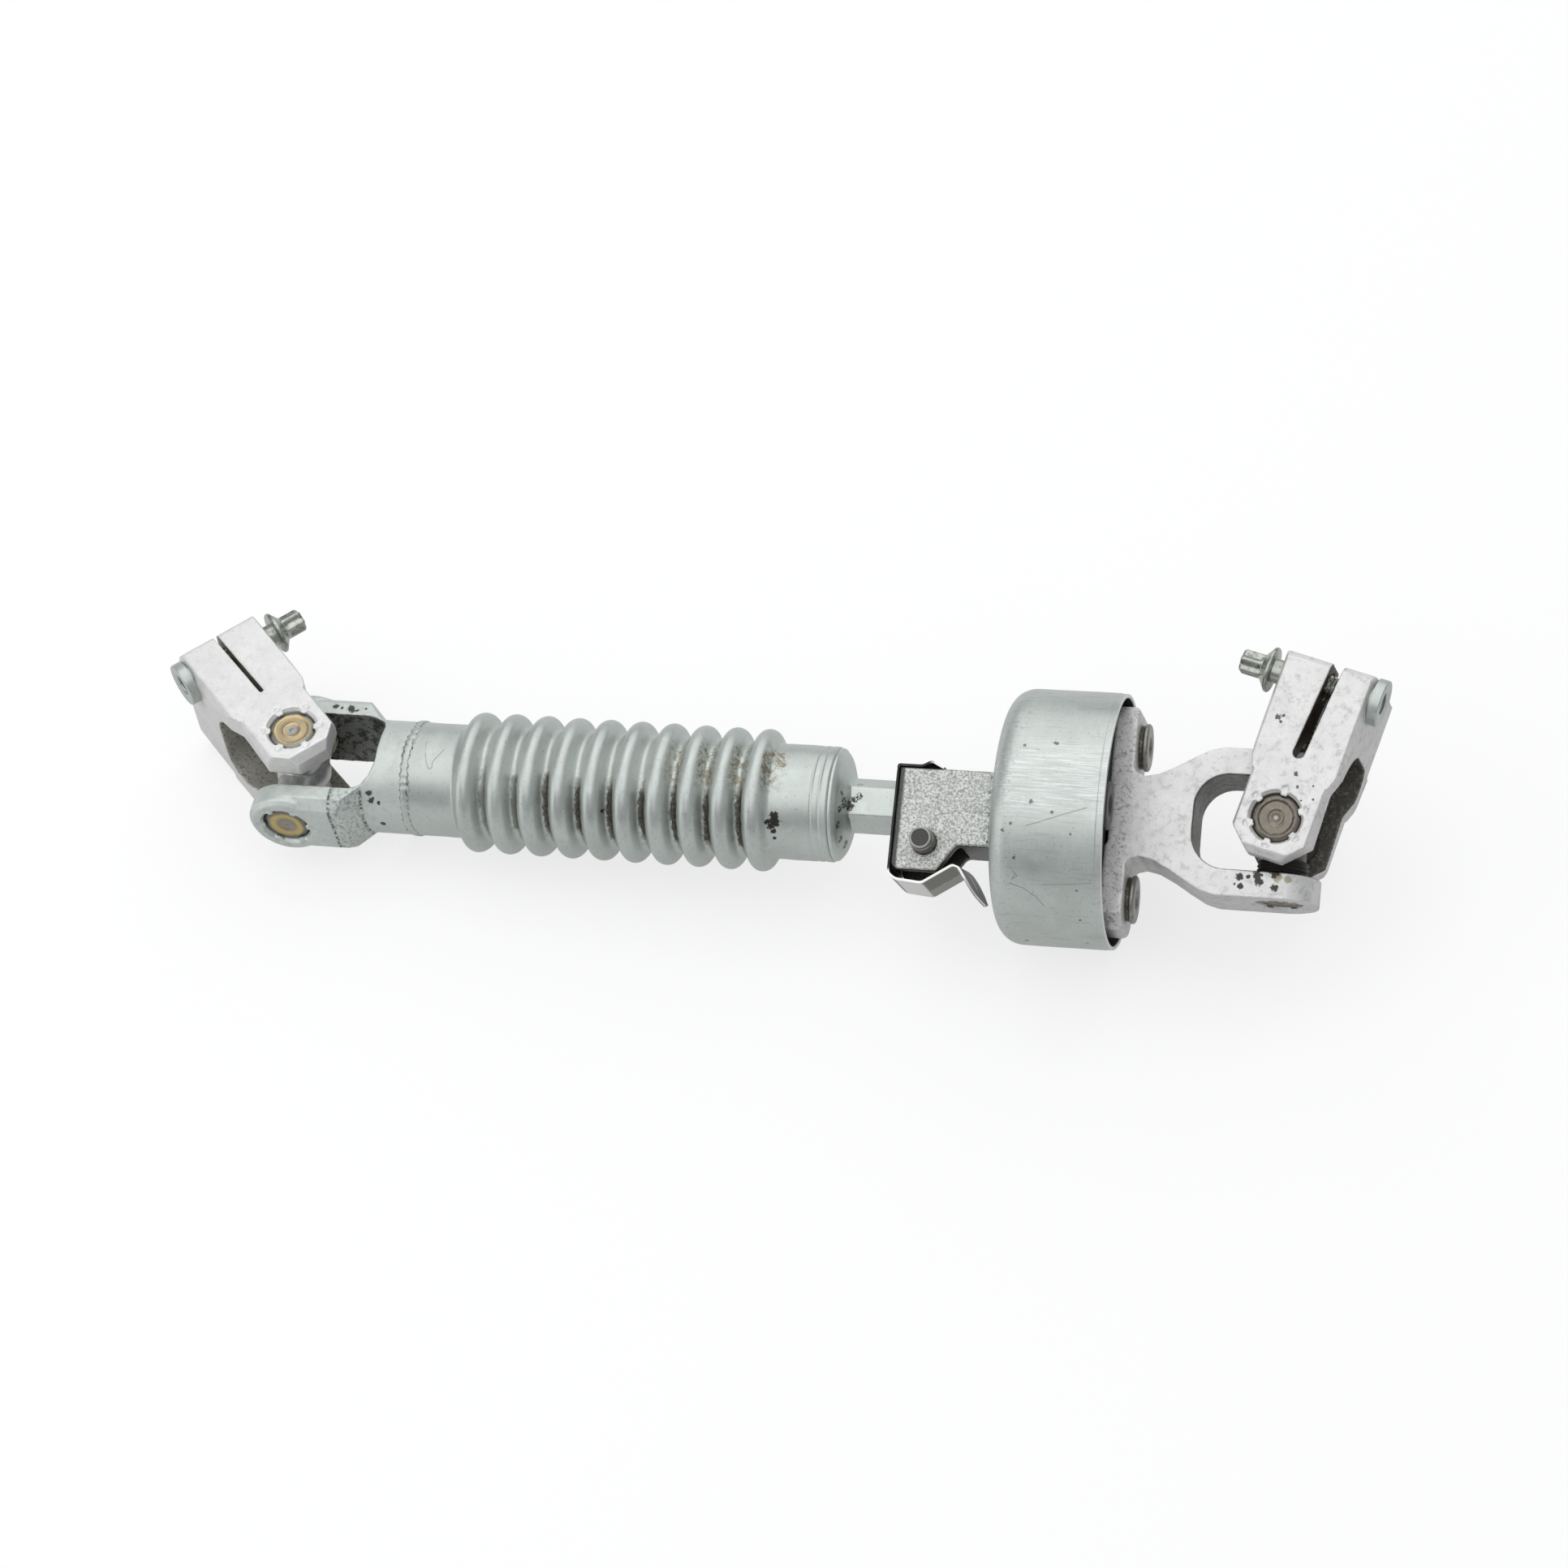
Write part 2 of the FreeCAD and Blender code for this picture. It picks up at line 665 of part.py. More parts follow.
def slip_shaft():
    """Plug in the tube's end, crowned face, and the hexagonal shaft forged on it."""
    inner = tube_radius - tube_wall - plug_play
    root = hex_corner + neck_step
    lip = tube_radius - plug_lip_step
    edges = path([(plug_neck, 0), (plug_start, 0), (plug_start, inner), (tube_end, inner), (tube_end, lip),
                  (plug_face, lip)])
    top = (plug_crown, plug_crown_radius)
    crown = (plug_face + 0.65 * crown_height, 0.7 * lip + 0.3 * plug_crown_radius)
    edges.append(arc((plug_face, lip), crown, top))
    fillet = (plug_crown + 0.28 * neck_length, 0.66 * root + 0.34 * plug_crown_radius)
    edges.append(arc(top, fillet, (plug_neck, root)))
    edges.append(line((plug_neck, root), (plug_neck, 0)))
    body = turned(edges)
    bar = hexagon(hex_across, plug_neck - 2, hex_end)
    wide = hex_corner + hex_end_chamfer
    tip = turned(path([(plug_neck - 3, 0), (plug_neck - 3, wide), (hex_end - 2 * hex_end_chamfer, wide),
                       (hex_end, hex_corner - hex_end_chamfer), (hex_end, 0), (plug_neck - 3, 0)]))
    body = body.fuse(bar.common(tip))
    notch = cylinder(jaw_bolt_radius + jaw_bolt_notch, -hex_across, hex_across, "z")
    return body.cut(placed(notch, shift(jaw_bolt_station, -jaw_bolt_drop, 0)))


def clamp_jaw():
    """Forged open jaw over the slip shaft, neck, and the shank that carries cup and plate."""
    outline = [
        (jaw_start, jaw_top), (jaw_start, -jaw_bottom), (jaw_block_end, -jaw_bottom),
        (jaw_ramp_end, -neck_bottom), (cup_start, -neck_bottom), (cup_start, jaw_top),
    ]
    body = prism(outline, -jaw_half_depth, jaw_half_depth)
    corner = edges_where(body, lambda p: near(p.x, jaw_start) and near(p.y, -jaw_bottom))
    corner = corner + edges_where(body, lambda p: near(p.x, jaw_ramp_end))
    body = body.makeFillet(2 * jaw_edge_round, corner)
    rims = edges_where(body, lambda p: near(abs(p.z), jaw_half_depth))
    rims = [e for e in rims if near(e.BoundBox.ZLength, 0) and e.BoundBox.XMin < cup_start - 0.1]
    body = body.makeChamfer(jaw_edge_round / 2, rims)
    opening = hexagon(hex_across + 2 * jaw_fit, jaw_start - 1, jaw_slot_end)
    half = hex_across / 2 + jaw_fit
    mouth = block(jaw_start - 1, jaw_slot_end, -jaw_bottom - 1, 0, -half, half)
    body = body.cut(opening.fuse(mouth))
    cross_hole = cylinder(jaw_bolt_radius, -2 * jaw_half_depth, 2 * jaw_half_depth, "z")
    body = body.cut(placed(cross_hole, shift(jaw_bolt_station, -jaw_bolt_drop, 0)))
    return body.fuse(cylinder(shank_radius, cup_start - 1, plate_end))


def jaw_cross_bolt():
    """Dark bolt across the jaw, hexagonal head on the far side, dog point on the near side."""
    back = -jaw_half_depth
    tip = jaw_half_depth + jaw_bolt_stand
    profile = path([
        (back, 0), (back, jaw_bolt_radius), (tip - jaw_bolt_point, jaw_bolt_radius),
        (tip - jaw_bolt_point + 0.5, jaw_bolt_point_radius), (tip - 0.4, jaw_bolt_point_radius),
        (tip, jaw_bolt_point_radius - 0.4), (tip, 0), (back, 0),
    ])
    bolt = turned(profile)
    bolt = bolt.fuse(hexagon(2 * jaw_bolt_head_radius, back - jaw_bolt_head, back))
    bolt = placed(bolt, turn(V(0, 1, 0), -90))
    return placed(bolt, shift(jaw_bolt_station, -jaw_bolt_drop, 0))


def offset_outline(points, thickness):
    """Closed outline of a strip of even thickness laid along a chain of points."""
    left = []
    right = []
    for index in range(len(points)):
        before = points[max(index - 1, 0)]
        here = points[index]
        after = points[min(index + 1, len(points) - 1)]
        in_x, in_y = here[0] - before[0], here[1] - before[1]
        out_x, out_y = after[0] - here[0], after[1] - here[1]
        in_length = hypot(in_x, in_y) or 1
        out_length = hypot(out_x, out_y) or 1
        nx = -(in_y / in_length + out_y / out_length)
        ny = in_x / in_length + out_x / out_length
        size = hypot(nx, ny)
        nx, ny = nx / size, ny / size
        if 0 < index < len(points) - 1:
            square = abs(-nx * in_y + ny * in_x) / in_length
        else:
            square = 1
        half = thickness / 2 / max(square, 0.3)
        left.append((here[0] + nx * half, here[1] + ny * half))
        right.append((here[0] - nx * half, here[1] - ny * half))
    return left + list(reversed(right))


def spring_clip():
    """Spring steel strip hooked round the jaw, with a bent spring leaf below."""
    half = clip_thickness / 2
    top = jaw_top + clip_gap + half
    face = jaw_start - clip_gap - half
    low = -jaw_bottom - clip_gap - half
    hook = jaw_start + clip_hook_start
    sag = jaw_start + clip_sag_start
    crest = sag + clip_crest
    fall = crest + clip_crest_width
    tip = fall + clip_leaf
    crest_height = low + clip_sag
    fall_height = crest_height - clip_crest_fall
    peak = hook + clip_hook_half
    strip = prism(offset_outline([
        (peak + clip_hook_half, top), (peak, top + clip_hook_height), (hook, top), (face, top),
        (face, low + clip_heel), (face + clip_heel, low), (sag, low - clip_sag),
        (crest, crest_height), (fall, fall_height), (tip, fall_height - clip_leaf_drop),
    ], clip_thickness), -clip_half_width, clip_half_width)
    strip = strip.cut(cylinder(clip_hole_radius, face - 2, face + 2))
    for side in (-1, 1):
        edge = side * (clip_half_width + 1)
        leaf = side * clip_leaf_half_width
        point = side * clip_tip_half_width
        shoulder = sag - clip_sag
        trim = [(shoulder, edge), (shoulder + clip_half_width - clip_leaf_half_width, leaf), (fall, leaf),
                (tip + 1, point), (tip + 1, edge)]
        under = fall_height - clip_leaf_drop - 1
        wire = Part.makePolygon([V(x, under, z) for x, z in trim + trim[:1]])
        strip = strip.cut(Part.Face(wire).extrude(V(0, -jaw_top - under, 0)))
    return strip


def coupling_cup():
    """Pressed cup round the rubber disc, open towards the right."""
    wall = cup_wall
    shoulder = (cup_shoulder, cup_shoulder_radius)
    bend = (cup_bend_end, cup_bend_radius)
    outer = [line((cup_start, shank_radius), (cup_start, cup_flat_radius)),
             line((cup_start, cup_flat_radius), shoulder),
             arc(shoulder, bend, (cup_side, cup_radius)),
             line((cup_side, cup_radius), (cup_rim, cup_radius))]
    inside = cup_radius - wall
    shoulder = (cup_shoulder + wall, cup_shoulder_radius)
    bend = (cup_bend_end + 0.8 * wall, cup_bend_radius - 0.6 * wall)
    inner = [line((cup_start + wall, shank_radius), (cup_start + wall, cup_flat_radius)),
             line((cup_start + wall, cup_flat_radius), shoulder),
             arc(shoulder, bend, (cup_side, inside)),
             line((cup_side, inside), (cup_rim, inside))]
    ends = [line((cup_start, shank_radius), (cup_start + wall, shank_radius)),
            line((cup_rim, inside), (cup_rim, cup_radius))]
    return turned(outer + inner + ends)


def coupling_plate():
    """Two-armed plate pressed on the shank, arms along z, with a boss up to the cup's end wall."""
    plate = block(plate_start, plate_end, -plate_half_width, plate_half_width,
                  -plate_half_length, plate_half_length)
    corners = [e for e in plate.Edges if near(e.BoundBox.YLength, 0) and near(e.BoundBox.ZLength, 0)]
    plate = plate.makeFillet(plate_half_width / 2, corners)
    plate = plate.fuse(cylinder(shank_radius + plate_boss, cup_start + cup_wall, plate_start + 1))
    plate = plate.cut(cylinder(shank_radius, cup_start, plate_end + 1))
    hole = cylinder(rivet_radius, plate_start - 1, plate_end + 1)
    for side in (-1, 1):
        plate = plate.cut(placed(hole, shift(0, 0, side * rivet_circle)))
    return plate


def rubber_disc():
    """Rubber coupling disc with four sleeve holes."""
    disc = cylinder(disc_radius, plate_end, disc_end)
    rims = edges_where(disc, lambda p: near(hypot(p.y, p.z), disc_radius))
    disc = disc.makeFillet(disc_edge_round, [e for e in rims if len(e.Vertexes) == 1])
    disc = disc.cut(cylinder(disc_hole_radius, plate_end - 1, disc_end + 1))
    hole = placed(cylinder(sleeve_radius, plate_end - 1, disc_end + 1), shift(0, rivet_circle, 0))
    for index in range(4):
        disc = disc.cut(placed(hole, turn(V(1, 0, 0), 90 * index)))
    return disc


def sleeve():
    """Steel sleeve moulded into the disc, on the x axis."""
    return ring(sleeve_radius, rivet_radius, plate_end, disc_end)


def hollow_rivet(start, end, head_length):
    """Hollow rivet from start to end with a flat head at each side, on the x axis."""
    body = cylinder(rivet_radius, start, end)
    outer_end = end + head_length
    for low, high, rim in ((start - rivet_head, start, start - rivet_head), (end, outer_end, outer_end)):
        head = cylinder(rivet_head_radius, low, high)
        edges = edges_where(head, lambda p: near(p.x, rim))
        body = body.fuse(head.makeFillet(rivet_head_round, [e for e in edges if len(e.Vertexes) == 1]))
    return body.cut(cylinder(rivet_hole_radius, start - rivet_head - 1, outer_end + 1))


def flange_yoke():
    """Forged yoke: crossbar flange along y on the disc, neck, and the fork of the right joint."""
    centre = right_centre
    bar_half = crossbar_half_length
    back = centre - fork_flare
    relief = disc_end + crossbar_relief
    fillet = fork_fillet
    right = [
        (relief, crossbar_relief_half - 1), (disc_end, crossbar_relief_half), (disc_end, bar_half),
        (crossbar_end, bar_half), (crossbar_end, fork_neck_half + fillet),
        (crossbar_end + fillet / 3, fork_neck_half + fillet / 3), (fork_neck, fork_neck_half),
        (fork_neck + fork_neck_bend, fork_neck_half + fork_neck_rise),
        (centre - fork_flare_foot, fork_neck_half + fork_flare_rise),
        (centre - fork_flare_middle, ear_face - fork_flare_rise),
        (centre - fork_flare_shoulder, ear_face - fork_shoulder_drop),
        (back, ear_face), (centre, ear_face),
    ]
    outline = right + [(x, -y) for x, y in reversed(right)]
    depth = fork_ear_half_depth
    body = prism(outline, -depth, depth)
    corners = [e for e in body.Edges if near(e.BoundBox.XLength, 0) and near(e.BoundBox.YLength, 0)
               and near(abs(e.Vertexes[0].Point.y), bar_half)]
    body = body.makeChamfer(crossbar_end_bevel, corners)
    for side in (-1, 1):
        for face in (-1, 1):
            y0 = side * bar_half
            z0 = face * depth
            size = crossbar_corner
            wedge = end_prism([(y0 + side, z0 + face), (y0 + side, z0 - face * (size + 1)),
                               (y0 - side * (size + 1), z0 + face)], disc_end - 1, crossbar_end + 1)
            body = body.cut(wedge)
    ears = cylinder(depth, -ear_face, ear_face, "y")
    body = body.fuse(placed(ears, shift(centre, 0, 0)))
    throat = block(centre - fork_throat, centre + 2 * depth, -fork_gap, fork_gap, -2 * depth, 2 * depth)
    ends = [e for e in edges_where(throat, lambda p: near(p.x, centre - fork_throat))
            if near(e.Vertexes[0].Point.y, e.Vertexes[1].Point.y)]
    throat = throat.makeFillet(fork_throat_round, ends)
    body = body.cut(throat)
    place = shift(centre, 0, 0)
    for hole in along_y(both_ends(staked_hole())):
        body = body.cut(placed(hole, place))
    for lip in stake_lips():
        for one in along_y(both_ends(lip)):
            body = body.fuse(placed(one, place))
    hole = cylinder(rivet_radius, disc_end - 1, crossbar_end + 1)
    for side in (-1, 1):
        body = body.cut(placed(hole, shift(0, side * rivet_circle, 0)))
    return body


shaft = turn(V(0, 1, 0), -shaft_rise)
right_half = shaft.multiply(turn(V(1, 0, 0), joint_phase))
left_joint = FreeCAD.Placement(V(0, 0, 0), FreeCAD.Rotation())
left_clamp = turn(V(0, 0, 1), 180 - left_bend)
right_joint = right_half.multiply(shift(right_centre, 0, 0)).multiply(turn(V(0, 1, 0), right_cross_tilt))
right_clamp = right_joint.multiply(turn(V(0, 0, 1), right_bend))
flange_place = right_half.multiply(shift(right_centre, 0, 0))
mirror_y = V(0, 1, 0)

nodes = {}


def keep(name, shapes, placement):
    """Store the solids of one node in their resting place."""
    if not isinstance(shapes, list):
        shapes = [shapes]
    nodes[name] = [placed(shape, placement) for shape in shapes]


left_yoke = clamp_yoke(left_slot_width, left_slot_lean).cut(nut_seat()).mirror(V(0, 0, 0), mirror_y)
right_yoke = clamp_yoke(right_slot_width, right_slot_lean).cut(nut_seat())
caps = both_ends(bearing_cap())
needles = needle_set() + [placed(roller, turn(V(1, 0, 0), 180)) for roller in needle_set()]
seals = both_ends(seal_ring())

keep("left_clamp_yoke", left_yoke, left_clamp)
keep("left_pinch_bolt", pinch_bolt().mirror(V(0, 0, 0), mirror_y), left_clamp)
keep("left_clamp_nut", clamp_nut().mirror(V(0, 0, 0), mirror_y), left_clamp)
keep("left_clamp_caps", caps, left_clamp)
keep("left_clamp_needles", needles, left_clamp)
keep("left_cross", cross_body(), left_joint)
keep("left_seals", seals + along_y(seals), left_joint)
keep("tube_yoke", tube_yoke(), shaft)
keep("left_fork_caps", along_y(caps), shaft)
keep("left_fork_needles", along_y(needles), shaft)
keep("weld_bead", weld_bead(), shaft)
keep("corrugated_tube", corrugated_tube(), shaft)
keep("slip_shaft", slip_shaft(), right_half)
keep("clamp_jaw", clamp_jaw(), right_half)
keep("jaw_cross_bolt", jaw_cross_bolt(), right_half)
keep("spring_clip", spring_clip(), right_half)
keep("coupling_cup", coupling_cup(), right_half)
keep("coupling_plate", coupling_plate(), right_half)
keep("rubber_disc", rubber_disc(), right_half)
keep("plate_sleeves", [placed(sleeve(), shift(0, 0, side * rivet_circle)) for side in (-1, 1)], right_half)
inner_rivet = hollow_rivet(plate_start, disc_end, rivet_head)
keep("plate_rivets", [placed(inner_rivet, shift(0, 0, side * rivet_circle)) for side in (-1, 1)], right_half)
keep("flange_sleeves", [placed(sleeve(), shift(0, side * rivet_circle, 0)) for side in (-1, 1)], right_half)
outer_rivet = hollow_rivet(plate_end, crossbar_end, rivet_outer_head)
keep("flange_rivets", [placed(outer_rivet, shift(0, side * rivet_circle, 0)) for side in (-1, 1)], right_half)
keep("flange_yoke", flange_yoke(), right_half)
keep("right_fork_caps", along_y(caps), flange_place)
keep("right_fork_needles", along_y(needles), flange_place)
keep("right_cross", cross_body(), right_joint)
keep("right_seals", seals + along_y(seals), right_joint)
keep("right_clamp_caps", caps, right_clamp)
keep("right_clamp_needles", needles, right_clamp)
keep("right_clamp_yoke", right_yoke, right_clamp)
keep("right_pinch_bolt", pinch_bolt(), right_clamp)
keep("right_clamp_nut", clamp_nut(), right_clamp)

whole = Part.makeCompound([solid for solids in nodes.values() for solid in solids])
box = whole.optimalBoundingBox()
to_origin = shift(-(box.XMin + box.XMax) / 2, -(box.YMin + box.YMax) / 2, -box.ZMin)

os.makedirs("parts", exist_ok=True)
for name, solids in nodes.items():
    moved = [placed(solid, to_origin) for solid in solids]
    shape = moved[0] if len(moved) == 1 else Part.makeCompound(moved)
    shape.exportStep("parts/" + name + ".step")
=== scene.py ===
"""Finished surfaces for an intermediate steering shaft, built round its solid frame.

The solids give every place and size. This file lays turned, forged and moulded
surfaces over them, with their coats, wear, dirt and some painted shade and highlights, and sets up a pale studio.
"""

import json
from math import cos, pi, radians, sin

import bmesh
import bpy
import numpy as np
from mathutils import Matrix, Vector


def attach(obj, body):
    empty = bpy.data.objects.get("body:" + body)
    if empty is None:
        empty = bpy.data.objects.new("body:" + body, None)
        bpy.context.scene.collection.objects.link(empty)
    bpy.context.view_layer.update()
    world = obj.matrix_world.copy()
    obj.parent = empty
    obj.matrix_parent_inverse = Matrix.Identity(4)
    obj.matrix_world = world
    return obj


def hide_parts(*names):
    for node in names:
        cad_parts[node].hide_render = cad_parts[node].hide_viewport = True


bl_info = {
    "name": "Steering Shaft Finish",
    "version": (1, 0, 0),
    "blender": (4, 5, 0),
    "location": "3D View > Sidebar > Shaft",
    "description": "Surfaces, coats and studio for an intermediate steering shaft",
    "category": "Object",
}

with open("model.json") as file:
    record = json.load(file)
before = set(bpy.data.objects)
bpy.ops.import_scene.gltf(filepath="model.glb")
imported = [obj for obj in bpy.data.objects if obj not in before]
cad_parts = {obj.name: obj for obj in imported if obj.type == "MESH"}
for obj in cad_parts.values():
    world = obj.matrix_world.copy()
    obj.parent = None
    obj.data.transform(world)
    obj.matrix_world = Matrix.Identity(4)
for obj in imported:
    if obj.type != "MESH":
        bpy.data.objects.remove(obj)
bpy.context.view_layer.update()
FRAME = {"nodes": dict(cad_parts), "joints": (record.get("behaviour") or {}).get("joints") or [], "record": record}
JOINTS = {joint["name"]: joint for joint in FRAME["joints"]}
MOUNTS = {mount["name"]: mount for mount in FRAME["record"]["mounts"]}
MM = 0.001

# Colours of dirt and wear. BLACK_DIRT also paints shade in the crevices of the tube's valleys.
BLACK_DIRT = (0.022, 0.019, 0.016)
DARK_STEEL = (0.10, 0.098, 0.090)
GREASE = (0.030, 0.026, 0.022)
RUST = (0.20, 0.105, 0.045)
BROWN_STAIN = (0.20, 0.16, 0.09)

# Half the gap between a yoke's ears, and a clamp yoke's throat and the corner in it.
EAR_GAP = 15.3 * MM
CLAMP_THROAT = 28.6 * MM
CLAMP_CORNER = 9.0 * MM

# Start of the clip's leaf. Beyond it, half the leaf's width falls by the taper times the square of the way.
LEAF_START = 229.9 * MM
LEAF_TAPER = 0.1218 / MM

# Cells of the two noises that make a forged skin uneven, in metres.
BROAD_CELL = 0.0042
FINE_CELL = 0.0013

# The camera was fitted to a square picture: its width and the focal length, both in the picture's pixels.
PICTURE_WIDTH = 1932.0
FOCAL_LENGTH = 4680.0
SENSOR_WIDTH = 36.0

# Floor, in metres, and how strongly it glows for the camera and in reflections.
FLOOR_HALF = 12.0
SEEN_GLOW = 0.70
MIRRORED_GLOW = 0.45

# Soft lamps: name, place and size in metres, power in watts. All face the aim.
LAMP_AIM = (0.0, 0.0, 0.03)
LAMPS = (
    ("top_lamp", (-0.22, -0.30, 1.33), 1.9, 9.1),
    ("far_lamp", (0.05, 1.10, 1.05), 1.6, 6.2),
    ("side_lamp", (-1.20, -0.55, 0.42), 0.9, 2.4),
)


def axes_from(origin, along, across):
    """Right-handed frame as (origin, 3 rows): x along, y the part of across square to x, z their product."""
    ex = np.array(along, float)
    ex = ex / np.linalg.norm(ex)
    ey = np.array(across, float)
    ey = ey - ex * ey.dot(ex)
    ey = ey / np.linalg.norm(ey)
    return np.array(origin, float), np.array([ex, ey, np.cross(ex, ey)])


# Frames of the pieces, from the joints and the mounts.
LEFT_CENTRE = JOINTS["left_fork_pivot"]["pos_m"]
RIGHT_CENTRE = JOINTS["right_fork_pivot"]["pos_m"]
SHAFT_LINE = JOINTS["coupling_twist"]["axis"]
SHAFT = axes_from(LEFT_CENTRE, SHAFT_LINE, JOINTS["left_fork_pivot"]["axis"])
RIGHT_HALF = axes_from(LEFT_CENTRE, SHAFT_LINE, JOINTS["right_fork_pivot"]["axis"])
FLANGE = axes_from(RIGHT_CENTRE, SHAFT_LINE, JOINTS["right_fork_pivot"]["axis"])


def clamp_frame(centre, mount, pivot):
    """Frame of a clamp yoke: x towards its open end, z along its own pin."""
    ex = np.array(MOUNTS[mount]["axis"], float)
    ez = np.array(JOINTS[pivot]["axis"], float)
    return axes_from(centre, ex, np.cross(ez, ex))


LEFT_CLAMP = clamp_frame(LEFT_CENTRE, "left_clamp_bore", "left_clamp_pivot")
RIGHT_CLAMP = clamp_frame(RIGHT_CENTRE, "right_clamp_bore", "right_clamp_pivot")


def own_points(name, frame):
    """Corner points of a solid in a frame's own axes."""
    mesh = FRAME["nodes"][name].data
    co = np.zeros(len(mesh.vertices) * 3)
    mesh.vertices.foreach_get("co", co)
    origin, rows = frame
    return (co.reshape(-1, 3) - origin) @ rows.T


def span(name, frame, axis=0):
    """Lowest and highest place of a solid along one of a frame's axes."""
    reach = own_points(name, frame)[:, axis]
    return float(reach.min()), float(reach.max())


def girth(name, frame):
    """Greatest distance of a solid from a frame's x axis."""
    own = own_points(name, frame)
    return float(np.hypot(own[:, 1], own[:, 2]).max())


# Places that the finished surfaces take from the solids.
TUBE_START, TUBE_END = span("corrugated_tube", SHAFT)
RING_RADIUS = girth("corrugated_tube", SHAFT)
PLUG_START, HEX_END = span("slip_shaft", RIGHT_HALF)
CUP_START, CUP_RIM = span("coupling_cup", RIGHT_HALF)
CUP_RADIUS = girth("coupling_cup", RIGHT_HALF)
RIVET_START, RIVET_END = span("flange_rivets", RIGHT_HALF)
PIN_START, PIN_END = span("plate_rivets", RIGHT_HALF)
CAP_REACH = span("left_clamp_caps", LEFT_CLAMP, 2)[1]
CROSSBAR_REACH = -span("flange_yoke", FLANGE)[0]
JAW_START = span("clamp_jaw", RIGHT_HALF)[0]


def length(title, text, millimetres):
    """A length property with its default given in millimetres."""
    return bpy.props.FloatProperty(name=title, description=text, default=millimetres * MM, unit="LENGTH")


def tint(title, text, colour):
    """A colour property."""
    return bpy.props.FloatVectorProperty(
        name=title, description=text, subtype="COLOR", size=3, default=colour)


class ShaftSurfaceSettings(bpy.types.PropertyGroup):
    """Sizes of the finished surfaces."""
    turn_steps: bpy.props.IntProperty(
        name="Turn steps", description="Facets round a large turned surface", default=216, min=24)
    small_turn_steps: bpy.props.IntProperty(
        name="Small turn steps", description="Facets round a small turned surface", default=80, min=12)
    forging_grain: length("Forging grain", "Cell size of a forged skin", 0.38)
    small_forging_grain: length("Small forging grain", "Cell size of the skin of a cross", 0.32)
    skin_relief: length("Skin relief", "Height of the unevenness of a forged skin", 0.10)
    tube_radius: length("Tube radius", "Radius of the plain tube", 19.0)
    tube_wall: length("Tube wall", "Wall of the tube", 1.5)
    ring_count: bpy.props.IntProperty(name="Ring count", description="Rolled rings on the tube", default=10)
    ring_lead: length("Ring lead", "Tube's start to the first ring's middle", 21.2)
    ring_pitch: length("Ring pitch", "Distance between rings", 10.9)
    ring_crest: length("Ring crest", "Radius of a ring's crest", 3.3)
    ring_valley: length("Ring valley", "Radius of the valley between two rings", 1.6)
    crimp_inset: length("Crimp inset", "Tube's end to the second crimp", 2.9)
    crimp_spacing: length("Crimp spacing", "Distance between the crimps", 2.6)
    hex_across: length("Hexagon", "Width of the slip shaft across its flats", 16.1)
    cup_wall: length("Cup wall", "Wall of the coupling cup", 1.5)
    cup_side: length("Cup side", "Cup's back to the start of its straight side", 9.3)
    rivet_circle: length("Rivet circle", "Radius on which the rivets stand", 25.0)
    bolt_radius: length("Bolt radius", "Radius of the clamp bolts", 4.0)
    thread_pitch: length("Thread pitch", "Pitch of the clamp bolts", 1.25)


class ShaftFinishSettings(bpy.types.PropertyGroup):
    """Colours of the coats."""
    zinc: tint("Zinc", "Zinc plated tube and cup", (0.60, 0.645, 0.615))
    forging: tint("Forging", "Bright coat of the yokes", (0.80, 0.80, 0.785))
    blasted: tint("Blasted", "Shot blasted jaw", (0.44, 0.45, 0.43))
    floor: tint("Floor", "Studio floor", (0.32, 0.32, 0.32))


def surface():
    """The surface settings of the scene."""
    return bpy.context.scene.shaft_surface


def finish():
    """The finish settings of the scene."""
    return bpy.context.scene.shaft_finish


def into(frame, points):
    """Points given in a frame's own x, y, z, moved to the row frame: origin plus their rows' sum."""
    origin, rows = frame
    return points @ rows + origin


def at(frame, x, y, z):
    """Place in a frame's own axes, in millimetres."""
    return into(frame, np.array([x, y, z]) * MM)


def on_turn(frame, along, radius, degrees):
    """Place on a round surface: millimetres along its axis and out from it, turn from z towards y."""
    angle = radians(degrees)
    return at(frame, along, radius * sin(angle), radius * cos(angle))


def marks(frame, rows, level=None):
    """Spots (place, radius) from rows of millimetres: x, y, z, radius, or x, y, radius at one level of z."""
    if level is not None:
        rows = [(x, y, level, size) for x, y, size in rows]
    return [(at(frame, x, y, z), size * MM) for x, y, z, size in rows]


def turned_marks(frame, radius, rows):
    """Spots (place, radius) on a round surface from rows of x, turn in degrees and size."""
    return [(on_turn(frame, x, radius, turn), size * MM) for x, turn, size in rows]


def chain(places):
    """Lines (start, end) that join places one after another."""
    return list(zip(places[:-1], places[1:]))


def lattice_noise(points, cell, seed):
    """Smooth value noise: random values on a repeating lattice, blended by 3t^2 - 2t^3 between corners."""
    table = np.random.default_rng(seed).random((32, 32, 32))
    place = points / cell
    base = np.floor(place).astype(int)
    part = place - base
    part = part * part * (3 - 2 * part)
    value = np.zeros(len(points))
    for dx in (0, 1):
        for dy in (0, 1):
            for dz in (0, 1):
                weight = (np.abs(1 - dx - part[:, 0]) * np.abs(1 - dy - part[:, 1])
                          * np.abs(1 - dz - part[:, 2]))
                i, j, k = ((base + (dx, dy, dz)) % 32).T
                value += weight * table[i, j, k]
    return value


